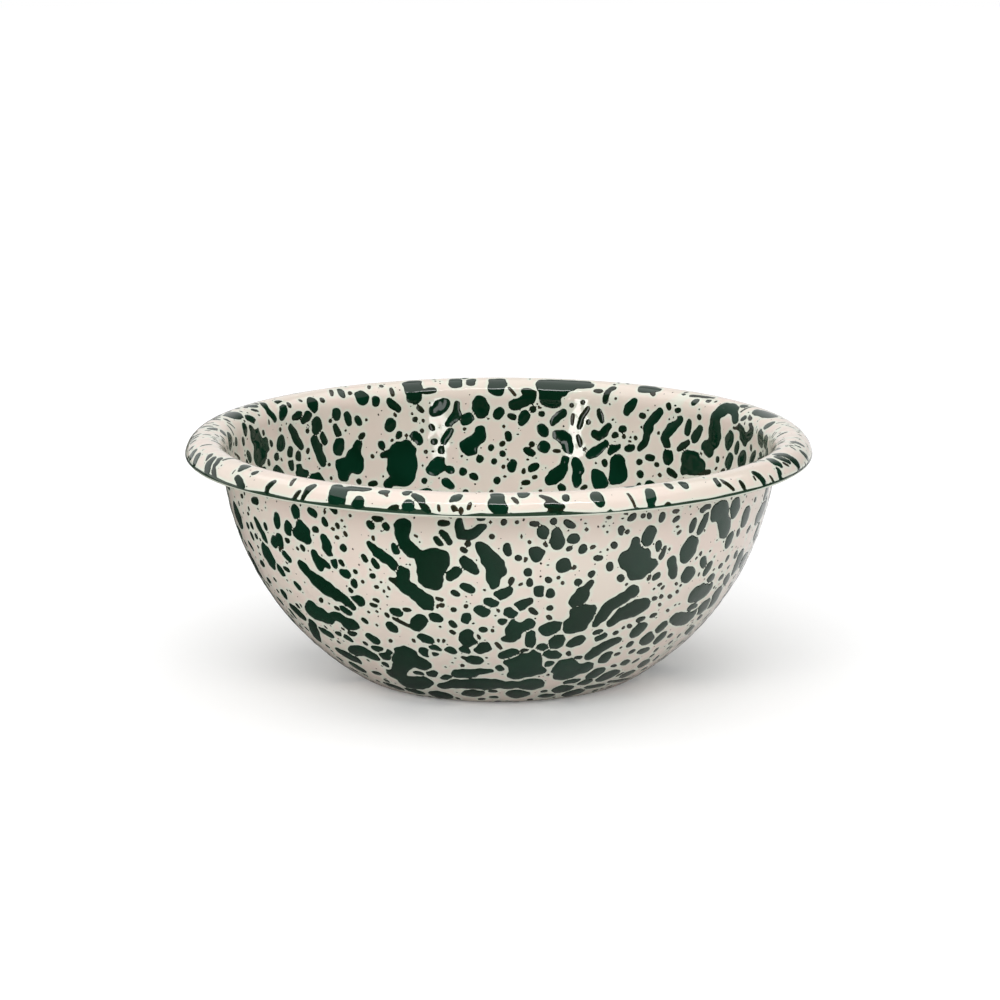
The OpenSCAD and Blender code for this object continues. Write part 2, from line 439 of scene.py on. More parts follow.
def dropRelief(skin, home):
    # cuts the drops of one piece out of the grid as closed, slightly domed lenses
    columns = bowl["columns"]
    tris = skin["tris"]
    gap = skin["gap"].ravel()
    deepest = np.take_along_axis(tris, gap[tris].argmax(1)[:, None], 1)[:, 0]
    tris = tris[(gap[deepest] > 0) & (skin["home"].ravel()[deepest] == home)]
    count = (gap[tris] > 0).sum(1)
    full, cut1, cut2 = (tris[count == k] for k in (3, 1, 2))  # all, one or two corners in the drop
    first = np.argmax(gap[cut1] > 0, axis=1)
    cut1 = np.take_along_axis(cut1, (first[:, None] + np.arange(3)) % 3, 1)
    first = np.argmax(gap[cut2] <= 0, axis=1)
    cut2 = np.take_along_axis(cut2, (first[:, None] + np.array([1, 2, 0])) % 3, 1)
    # edges from a node in the drop to one outside it, which the outline crosses
    pairs = np.concatenate([cut1[:, [0, 1]], cut1[:, [0, 2]], cut2[:, [1, 2]], cut2[:, [0, 2]]])
    keys, which = np.unique(pairs[:, 0] * gap.size + pairs[:, 1], return_inverse=True)
    nodes = np.unique(np.concatenate([full.ravel(), cut1[:, 0], cut2[:, 0], cut2[:, 1]]))
    slotOf = lambda part: np.searchsorted(nodes, part)
    n1, n2 = len(cut1), len(cut2)
    e1, e2, e3, e4 = np.split(len(nodes) + which, [n1, 2 * n1, 2 * n1 + n2])
    top = np.concatenate([
        slotOf(full),
        np.stack([slotOf(cut1[:, 0]), e1, e2], -1),
        np.stack([slotOf(cut2[:, 0]), slotOf(cut2[:, 1]), e3], -1),
        np.stack([slotOf(cut2[:, 0]), e3, e4], -1),
    ])
    inNode, outNode = keys // gap.size, keys % gap.size
    share = np.clip(gap[inNode] / (gap[inNode] - gap[outNode]), *pools["cut"])

    def blended(values):
        return np.concatenate([values[nodes], values[inNode] * (1 - share) + values[outNode] * share])

    turnOf = lambda node: columnTurn[node % columns]
    dTurn = turnOf(outNode) - turnOf(inNode)
    dTurn -= 2 * np.pi * np.round(dTurn / (2 * np.pi))
    turn = np.concatenate([turnOf(nodes), turnOf(inNode) + share * dTurn])
    section = ("x", "z", "nx", "nz", "along")
    x, z, nx, nz, along = (blended(np.repeat(skin[key], columns)) for key in section)
    depth = np.concatenate([gap[nodes], np.zeros(len(keys))])
    size = blended(skin["size"].ravel())
    edge = np.clip(size, *pools["edge"])
    rise = pools["height"] * edge * (1 - (1 - np.clip(depth / edge, 0, 1)) ** 2)
    rollStart = skin["along"][np.argmax(skin["zone"] == "roll")]
    rise *= 1 - (1 - pools["rimHeight"]) * np.clip((along - rollStart) / pools["rimFade"], 0, 1)
    rise = rise * np.clip((skin["along"][-1] - along) / pools["edgeFade"], 0, 1) + pools["lift"]

    def lifted(lift):
        return around(x + nx * lift, z + nz * lift, turn)

    if skin["side"] < 0:
        top = top[:, ::-1]
    inner = len(nodes)  # the underside has its own inner points and shares the outline
    below = np.where(top < inner, top + len(x), top)
    sunk = lifted(np.full(len(x), -pools["sink"]))[:inner]
    spot = np.stack([turn / (2 * np.pi), along], -1)
    return {
        "points": np.concatenate([lifted(rise), sunk]),
        "top": top,
        "rest": below[:, ::-1],
        "depth": np.concatenate([depth, depth[:inner]]),
        "size": np.concatenate([size, size[:inner]]),
        "uv": np.concatenate([spot, spot[:inner]]),
    }


# Fine spray: flat little domes
speck = {
    "sides": 7,
    "apart": 0.15,      # mm from the next drop
    "ragged": 0.25,     # share of its size that its outline varies by, and the limit of that
    "raggedMost": 1.5,
    "height": 0.09,     # share of its half width
    "depth": 0.1,       # mm, the glaze in it counts as this deep
}


def speckRelief(skin, lay):
    rng = skin["rng"]
    sides = speck["sides"]
    rows, weight = zoneRows(skin, lay["zones"])
    j = rows[np.clip(np.searchsorted(weight, rng.random(lay["tries"]) * weight[-1]), 0, len(rows) - 1)]
    i = rng.integers(0, bowl["columns"], lay["tries"])
    r = between(lay["r"], rng.random(lay["tries"]) ** lay["skew"])
    free = (skin["gap"][j, i] < -r - speck["apart"]) & (skin["z"][j] > pools["clear"])
    j, i, r = j[free], i[free], r[free]
    turn = columnTurn[i]
    ring = np.arange(sides) * 2 * np.pi / sides
    middle = skinPoints(skin, j, turn)
    normal = around(skin["nx"][j], skin["nz"][j], turn)
    across = np.stack([np.cos(turn), np.sin(turn), 0 * turn], -1)
    up = np.cross(normal, across)
    ragged = rng.normal(size=(len(r), sides)).clip(-speck["raggedMost"], speck["raggedMost"])
    reach = r[:, None] * (1 + speck["ragged"] * ragged)
    aroundRing = np.cos(ring)[None, :, None] * across[:, None] + np.sin(ring)[None, :, None] * up[:, None]
    outline = middle[:, None] + reach[..., None] * aroundRing + pools["lift"] * normal[:, None]
    crown = middle + normal * (pools["lift"] + speck["height"] * r[:, None])
    points = np.concatenate([crown[:, None], outline, (middle - normal * pools["sink"])[:, None]], axis=1)
    first = np.arange(len(r))[:, None] * (sides + 2)
    k = np.arange(sides)
    after = (k + 1) % sides
    top = np.stack([first + 0 * k, first + 1 + k, first + 1 + after], -1).reshape(-1, 3)
    under = np.stack([first + sides + 1 + 0 * k, first + 1 + after, first + 1 + k], -1).reshape(-1, 3)
    return {
        "points": points.reshape(-1, 3), "top": top, "rest": under,
        "depth": np.full(len(r) * (sides + 2), speck["depth"]),
        "size": np.repeat(r, sides + 2),
        "uv": np.repeat(np.stack([turn / (2 * np.pi), skin["along"][j]], -1), sides + 2, axis=0),
    }


def newPiece(name, points, faces, flat=None, uv=None, marks=None):
    # points in mm; faces is a list of vertex index arrays; flat marks the faces that aren't smoothed
    mesh = bpy.data.meshes.new(name)
    mesh.vertices.add(len(points))
    mesh.vertices.foreach_set("co", (np.asarray(points) * 0.001).astype(np.float32).ravel())
    loops = np.concatenate([f.ravel() for f in faces])
    sizes = np.concatenate([np.full(len(f), f.shape[1]) for f in faces])
    mesh.loops.add(len(loops))
    mesh.loops.foreach_set("vertex_index", loops.astype(np.int32))
    mesh.polygons.add(len(sizes))
    mesh.polygons.foreach_set("loop_start", np.concatenate([[0], np.cumsum(sizes)[:-1]]).astype(np.int32))
    mesh.update(calc_edges=True)
    if flat is not None:
        sharp = mesh.attributes.new("sharp_face", "BOOLEAN", "FACE")
        sharp.data.foreach_set("value", flat)
    for key, values in (marks or {}).items():
        mark = mesh.attributes.new(key, "FLOAT", "POINT")
        mark.data.foreach_set("value", np.asarray(values, dtype=np.float32))
    if uv is not None:
        layer = mesh.uv_layers.new(name="OFBake")
        layer.data.foreach_set("uv", uv.astype(np.float32).ravel())
    piece = bpy.data.objects.new(name, mesh)
    bpy.context.scene.collection.objects.link(piece)
    return piece


# How the drops lie on their map, and how thick the glaze counts as in them
dropMap = {
    "pastTurn": 1.01,      # the map holds a little more than one turn
    "tops": 0.74,          # the tops take the lower part of the map, walls and undersides the rest
    "restFrom": 0.76,
    "restPart": 0.32,
    "depth": (0.0, 1.1),   # mm from the outline over which the glaze gets thicker
    "depthPart": 0.45,
    "size": (0.45, 1.35),  # mm, half widths over which it does so
    "band": (6.0, 8.0),    # size that only the band along the cut edge has
}


def ramp(values, low, high):
    return np.clip((values - low) / (high - low), 0, 1)


def dropPiece(name, parts):
    starts = np.cumsum([0] + [len(part["points"]) for part in parts])
    tops = np.concatenate([part["top"] + start for part, start in zip(parts, starts)])
    rests = np.concatenate([part["rest"] + start for part, start in zip(parts, starts)])
    keys = ("points", "depth", "size", "uv")
    points, depth, size, spot = (np.concatenate([part[key] for part in parts]) for key in keys)
    low, high = spot[:, 1].min(), spot[:, 1].max()
    spot[:, 1] = (spot[:, 1] - low) / (high - low)
    corner = spot[np.concatenate([tops, rests])]  # faces, corners, uv
    wrap = (corner[..., 0].max(1) - corner[..., 0].min(1)) > 0.5
    corner[..., 0] += wrap[:, None] * (corner[..., 0] < 0.5)
    corner[..., 0] /= dropMap["pastTurn"]
    corner[..., 1] *= dropMap["tops"]
    corner[len(tops):, :, 1] = dropMap["restFrom"] + corner[len(tops):, :, 1] * dropMap["restPart"]
    flat = np.arange(len(tops) + len(rests)) >= len(tops)
    thick = ramp(depth, *dropMap["depth"]) * dropMap["depthPart"]
    thick += ramp(size, *dropMap["size"]) * (1 - dropMap["depthPart"])
    thick += ramp(size, *dropMap["band"])
    return newPiece(name, points, [tops, rests], flat, corner, {"thick": thick})


def corners(*pairs):
    # places on the map for the corners of a row of faces
    return np.stack([np.stack([u + 0 * v, v + 0 * u], -1) for u, v in pairs], 1)


def ringQuads(n, ways, closed=False):
    # quads between rings of n points, and their corners on a map where the rings lie at these ways
    bands = len(ways) - 1
    rings = bands if closed else bands + 1
    k = np.arange(n)
    after = (k + 1) % n
    row = np.arange(bands)[:, None] * n
    nextRow = (np.arange(1, bands + 1) % rings)[:, None] * n
    quads = np.stack([row + k, row + after, nextRow + after, nextRow + k], -1).reshape(-1, 4)
    u0, u1 = np.tile(k / n, bands), np.tile((k + 1) / n, bands)
    v0, v1 = np.repeat(ways[:-1], n), np.repeat(ways[1:], n)
    return quads, corners((u0, v0), (u1, v0), (u1, v1), (u0, v1))


# Cream coat: it takes one in so many of the skin's rows and columns
coat = {"rows": 2, "backRows": 8, "columns": 2, "gapMost": 3.0}  # and distances up to this many mm


def coatPiece(name, skin, backDepth):
    # closed coat: a fine front with the distance to the drops, and a plain back on the ground coat
    def everyNth(count, n):
        return np.unique(np.append(np.arange(0, count, n), count - 1))

    back = makeSkin(backDepth, skin["side"], 0)
    keep = everyNth(len(skin["x"]), coat["rows"])
    keepBack = everyNth(len(back["x"]), coat["backRows"])[::-1]
    x, z, gap = (np.concatenate([skin[key][keep], back[key][keepBack]]) for key in ("x", "z", "gap"))
    gap = gap[:, ::coat["columns"]]
    turn = columnTurn[::coat["columns"]]
    n, rings = len(turn), len(x) - 2
    along = wayAlong(x, z)
    along /= along[-1]
    points = around(x[1:-1, None], z[1:-1, None], turn).reshape(-1, 3)
    points = np.concatenate([points, [[0, 0, z[0]], [0, 0, z[-1]]]])
    quads, quadMap = ringQuads(n, along[1:-1])
    k = np.arange(n)
    after = (k + 1) % n
    start = (rings - 1) * n
    first = np.stack([np.full(n, rings * n), after, k], -1)
    last = np.stack([np.full(n, rings * n + 1), start + k, start + after], -1)
    u0, u1 = k / n, (k + 1) / n
    middle = (u0 + u1) / 2
    firstMap = corners((middle, along[0]), (u1, along[1]), (u0, along[1]))
    lastMap = corners((middle, along[-1]), (u0, along[-2]), (u1, along[-2]))
    faces, maps = [quads, first, last], [quadMap, firstMap, lastMap]
    if skin["side"] < 0:
        faces, maps = [f[:, ::-1] for f in faces], [m[:, ::-1] for m in maps]
    uv = np.concatenate([m.reshape(-1, 2) for m in maps])
    gaps = np.concatenate([gap[1:-1].ravel(), [gap[0].mean(), pools["bare"]]])
    gaps = np.clip(gaps, -coat["gapMost"], coat["gapMost"])
    return newPiece(name, points, faces, None, uv, {"dropGap": gaps})


# Kinds of scattered drops: half width in mm, how much the small ones prevail, how far a drop is drawn out,
# and the gap to its neighbours in half widths; a lay with hidden keeps to what the photograph doesn't show
largeDrops = {"r": (0.9, 3.4), "skew": 2.2, "stretch": 1.6, "crowd": (0.6, 1.25)}
smallDrops = {"r": (0.3, 1.1), "skew": 1.2, "stretch": 0.9, "crowd": (1.1, 1.7)}
budDrops = {"r": (0.4, 1.1), "skew": 1.3, "stretch": 0.8, "join": True}
spray = {"r": (0.1, 0.34), "skew": 1.6}
streaks = {"zones": ["roll"], "way": math.pi / 2}
wallZones = ["corner", "wall"]
floorZones = ["base", "stepIn", "stepOut", "corner"]
allRound = (-180, 180)

# Drops on the outside; seen: read off the photograph, in pixels, the drops of one pool in one list
outsideDrops = {
    "home": 1,
    "seed": 11,
    "seen": [
        [(255, 501, 8)], [(295, 509, 296, 516, 8.5)], [(310, 510, 315, 515, 7)],
        [(276, 515, 277.5, 526, 6.5)], [(255, 519, 267, 543, 4)], [(288, 525, 288.5, 532, 8.5)],
        [(299, 523, 308, 540, 9), (295, 532, 305, 537, 9), (302, 532, 14)],
        [(273, 537, 275, 545, 6), (279, 536, 281, 545, 7), (281, 549, 5)], [(283, 552, 290, 561, 5)],
        [(263, 545, 273.5, 566, 8)], [(277, 566, 284, 575, 4.5)],
        [(300, 563, 310, 575, 8), (312, 577, 338, 597, 13), (338, 597, 352, 606, 11)],
        [(341, 605, 350, 613, 7)], [(354, 598, 361, 603, 9.5)],
        [(323.5, 538, 329, 547, 8), (323.5, 547, 332, 556, 5.5)],
        [(313, 552, 321, 569, 7), (320, 560, 329, 567, 6)],
        [(369, 543, 377, 553, 6.5), (378, 553, 390, 561, 11), (391, 562, 395, 568, 7.5)],
        [(395, 545, 397, 549.5, 9)],
        [(402, 571, 404, 575, 12), (390.5, 579.5, 398, 583, 5), (401, 581, 416, 595, 14),
         (414, 594, 428, 598, 12), (422, 602, 430, 605, 11)],
        [(442, 533, 449, 541, 8)],
        [(459, 522, 460, 534, 9), (460, 535, 474, 534, 9), (474, 533, 483, 527, 9)],
        [(403, 526, 402, 533, 17), (402, 533, 404, 545, 10), (402, 545, 418, 555, 14),
         (424, 557, 442, 558, 18), (428, 567, 438, 566, 24), (427, 577, 434, 577, 22), (434, 584, 14)],
        [(450, 576, 456, 571.5, 12.5)], [(464, 562, 470, 565, 12), (470, 567, 476, 571, 8)],
        [(480, 547, 493, 560, 14), (490, 560, 499, 570, 19), (492, 572, 494, 583, 13)],
        [(498, 594.5, 508, 592, 11)], [(488, 602, 494, 603, 9.5)], [(480, 610, 485, 612.5, 11)],
        [(543.5, 533, 13)], [(557, 535, 557, 543, 16)], [(573, 538.5, 12)],
        [(532, 551, 542, 551.5, 8), (536, 557, 11)], [(563.5, 564.5, 15)], [(539, 591, 11.5)],
        [(519, 605, 525, 603, 10.5), (530, 601, 7)], [(508, 612, 512, 612, 10.5)],
        [(575, 602, 584, 593, 14), (584, 590, 592, 582, 6)], [(651, 531, 646.5, 541, 13)],
        [(636, 541, 636, 552, 11), (627, 557, 644, 555, 16), (628, 563, 648, 564, 18),
         (635, 572, 641, 570, 17), (650, 567, 656, 563, 7)],
        [(665, 547, 660, 559, 5)], [(694.5, 521, 691, 531, 6)], [(708, 514, 698, 533, 6)],
        [(693, 541, 685, 557, 14)], [(702, 511, 709, 506.5, 6)],
        [(722, 509, 717, 516, 16), (725, 515, 724, 533, 12)], [(737, 500, 733, 516, 8.5)],
        [(748, 508, 743, 525, 6.5)], [(732, 534, 726, 547, 5.5)], [(672, 561, 673, 575, 9.5)],
        [(690, 571, 686, 577, 12)], [(704, 559, 703, 565, 6.5)], [(711, 563, 704, 575, 4.5)],
        [(713, 575, 708, 582, 5.5)], [(708, 587, 694, 597, 13)], [(743, 550, 733, 574, 5)],
        [(720, 589.5, 710, 606, 7)], [(633, 591, 12), (632, 593, 610, 606, 11), (610, 606, 594, 624, 12)],
        [(645, 604, 622, 614, 15), (622, 614, 610, 624, 9)],
        [(310, 604, 316, 611, 8), (311, 611, 324, 617, 13), (322, 617, 331, 621, 8),
         (333, 615, 343, 620, 8), (346, 623, 354, 626, 12)],
        [(311, 623.5, 319, 640, 7)], [(320, 628.5, 332, 636, 5)], [(369, 636, 377, 641, 7)],
        [(394, 611.5, 399, 614, 8)], [(416, 624, 421, 621, 15), (393, 618, 409, 626, 3.5)],
        [(432, 616, 440, 620, 8.5)], [(420, 636, 432, 642, 8)], [(423, 650.5, 427, 654, 9)],
        [(431, 673.5, 435, 674, 8)],
        [(352, 650, 364, 652, 10), (364, 652, 378, 659, 7), (374, 648, 383, 650, 6)],
        [(384, 655, 391, 654, 11)],
        [(397, 655, 408, 655, 18), (400, 664, 407, 664, 15), (417, 661, 426, 666, 12),
         (392, 671, 401, 675, 13), (405, 683, 428, 684, 13)],
        [(414, 672, 422, 674, 4)], [(337, 650, 361, 663, 5.5)],
        [(350, 663, 364, 671, 4)], [(431, 693, 450, 697, 7)], [(466, 618.5, 11)],
        [(513, 627, 514, 633, 17), (525, 626, 530, 623, 11), (504, 639, 514, 640, 6)],
        [(531, 635, 530, 643, 11.5)], [(545, 631, 556, 626, 13)],
        [(575, 614, 592, 611, 15), (570, 627, 588, 619, 18)], [(553, 644, 560, 641, 13)],
        [(569, 644, 582, 639, 9)], [(547, 654, 558, 655, 9)],
        [(463, 635, 470, 634, 9), (464, 639, 472, 641, 12)],
        [(478, 650, 486, 648, 11)], [(470, 660, 478, 660.5, 9), (462, 656.5, 467, 658.5, 3.5)],
        [(503, 655, 515, 652, 9.5)],
        [(522, 666, 531, 666, 25), (509, 663, 518, 663, 11), (512, 675, 520, 675, 9),
         (535, 653, 538, 657, 9), (539, 672, 545, 670.5, 4.5)],
        [(562, 671.5, 570, 668.5, 22), (580, 670, 589, 666, 9.5)],
        [(456, 673.5, 474, 674.5, 10), (474, 672, 492, 671, 6)],
        [(440, 686, 452, 685, 7.5), (452, 684.5, 500, 684.5, 12), (500, 685, 520, 685, 8),
         (523, 686, 538, 684, 12)],
        [(465, 693, 480, 693, 8)], [(510, 694, 526, 693.5, 9)], [(555, 690.5, 570, 687.5, 7)],
        [(453.5, 592, 458, 595, 6)], [(463, 586, 472, 590, 8)], [(466, 606, 4.5)],
        [(436.5, 606, 4.5), (442, 605.5, 5)], [(438.5, 640.5, 4)], [(443.5, 641, 4)],
        [(432, 647.5, 438, 649.5, 6)], [(432, 654, 437, 654, 5.5)], [(449, 650, 455, 651.5, 6.5)],
        [(461, 649, 468, 651, 6)], [(477, 636, 479, 638.5, 5)], [(481.5, 629, 485, 629, 5.5)],
        [(492.5, 631, 4)], [(451.5, 632, 455, 634, 4)], [(496, 644, 501, 649, 4)],
        [(497, 668, 502, 668.5, 5)], [(501.5, 621.5, 506, 622, 7)], [(530, 609, 536, 613, 5.5)],
        [(550, 593, 9.5)], [(539, 647.5, 547, 645.5, 7)], [(568.5, 654, 6)], [(576, 658, 580, 657.5, 4.5)],
        [(546, 664.5, 553, 663, 6)], [(521, 651, 528, 649.5, 4)], [(442, 677.5, 449, 677.5, 5)],
        [(565, 683, 579, 680, 4.5)], [(579, 684, 590, 681, 4.5)], [(563, 695.5, 583, 690, 5)],
        [(540, 696, 552, 695.5, 4.5)], [(490, 697, 497, 697.5, 3)], [(490, 691.5, 496, 691, 3)],
        [(405, 689, 425, 694, 3.5)], [(595, 632.5, 601, 631, 5)],
        [(597, 638.5, 605, 635, 6)], [(633, 635, 644, 625, 9)], [(656.5, 631, 666, 623, 6)],
        [(643.5, 642.5, 650.5, 636, 10)], [(588, 657, 603, 647, 9), (603, 647, 619, 639, 7.5)],
        [(602, 660, 609, 655, 8)], [(590, 677, 602, 670, 8)], [(599, 679.5, 617, 671.5, 7)],
        [(640, 666, 648, 660.5, 5)], [(676, 620, 686, 618, 13), (688, 617, 696, 611, 7)],
        [(670, 645, 680, 638, 8)],
        [(369, 523, 371, 527, 6.5)], [(385, 525, 387, 528, 6.5)], [(374, 518, 381, 519, 6)],
        [(337, 537, 4.5)], [(344.5, 533, 346.5, 536, 3.5)], [(374, 560, 377, 566, 6.5)],
        [(333, 560.5, 336, 566, 6.5)], [(341, 562, 343, 566, 5)], [(342, 571, 348, 576, 8)],
        [(440, 522, 448, 522.5, 6)], [(436, 538, 441, 544, 8)], [(507, 547, 507.5, 552, 8.5)],
        [(528, 572, 8)], [(582, 549.5, 584, 547.5, 8)], [(567, 522, 573, 527, 7.5)],
        [(532, 523, 537, 523, 6)], [(545, 544, 546, 546, 5)], [(574, 568, 5)],
        [(610, 564.5, 609.5, 569, 7)], [(621, 529, 621.5, 532, 6.5)], [(627, 532, 5)], [(643, 516, 5)],
        [(649, 514, 649, 518, 5)], [(663, 514, 661, 521, 5.5)], [(659, 543, 658, 550, 6.5)],
        [(492, 537, 5)], [(674, 512, 678, 511.5, 4)], [(699, 612, 709, 601, 7)], [(686, 633, 694, 626, 4)],
        [(704, 617, 712, 608, 4)],
        [(282, 591, 286, 597, 4)], [(294.5, 582, 299.5, 588, 4)], [(291, 606, 305, 619, 5)],
        [(337, 633, 341, 634.5, 4)], [(344, 635, 352, 641, 4)], [(350, 633, 356, 634, 5)],
        [(350.5, 590, 353, 594, 4.5)], [(374, 599.5, 378, 601.5, 4)], [(371, 604, 376, 606, 4)],
        [(386, 614.5, 388.5, 616.5, 3.5)], [(389, 625, 395, 630, 7.5)], [(358, 673, 366, 676.5, 3.5)],
        [(373, 672, 380, 674, 3)], [(384.5, 664, 391, 668, 5)], [(384, 683, 404, 690, 3)],
        [(653, 598.5, 656, 597.5, 4)], [(661, 596.5, 4.5)], [(669.5, 597, 4.5)], [(659.5, 605, 3.5)],
        [(667.5, 610.5, 3.5)], [(652, 615.5, 655, 614.5, 4)], [(638, 620, 643, 618.5, 5)], [(629.5, 626, 5)],
        [(659.5, 584.5, 4.5)], [(676, 584.5, 3.5)], [(677.5, 591, 3.5)], [(655.5, 642, 665, 633.5, 5)],
        [(690, 609, 695, 606, 6)], [(724.5, 584, 728, 576, 4.5)], [(628, 645.5, 632, 643, 4.5)],
        [(639, 652, 648, 649, 5)], [(630, 652.5, 634, 650.5, 3.5)], [(615, 654.5, 619, 653.5, 3)],
        [(622, 664, 628, 661.5, 4.5)], [(611.5, 666.5, 615.5, 665.5, 3)], [(620, 677.5, 634, 671, 3.5)],
        [(584, 688.5, 606, 684, 3)], [(608, 683.5, 630, 678.5, 2.5)], [(661, 656, 669, 650, 5)],
    ],
    "fill": [
        {**largeDrops, "zones": wallZones, "turn": (72, 288), "tries": 1300, "r": (0.9, 3.6)},
        {**smallDrops, "zones": wallZones, "tries": 3000},
    ],
    "buds": [{**budDrops, "zones": wallZones, "turn": (80, 280), "tries": 900}],
    "specks": {**spray, "zones": wallZones, "tries": 1500},
}

# Drops under the base
baseDrops = {
    "home": 2,
    "fill": [
        {"zones": ["base"], "tries": 160, "r": (0.8, 3.0), "skew": 2.2, "stretch": 2.0, "crowd": (0.5, 1.2)},
        {"zones": ["base"], "tries": 420, "r": (0.3, 1.0), "skew": 1.3, "stretch": 2.0, "crowd": (0.9, 1.6)},
    ],
    "specks": {**spray, "zones": ["base"], "tries": 160, "r": (0.1, 0.3)},
}

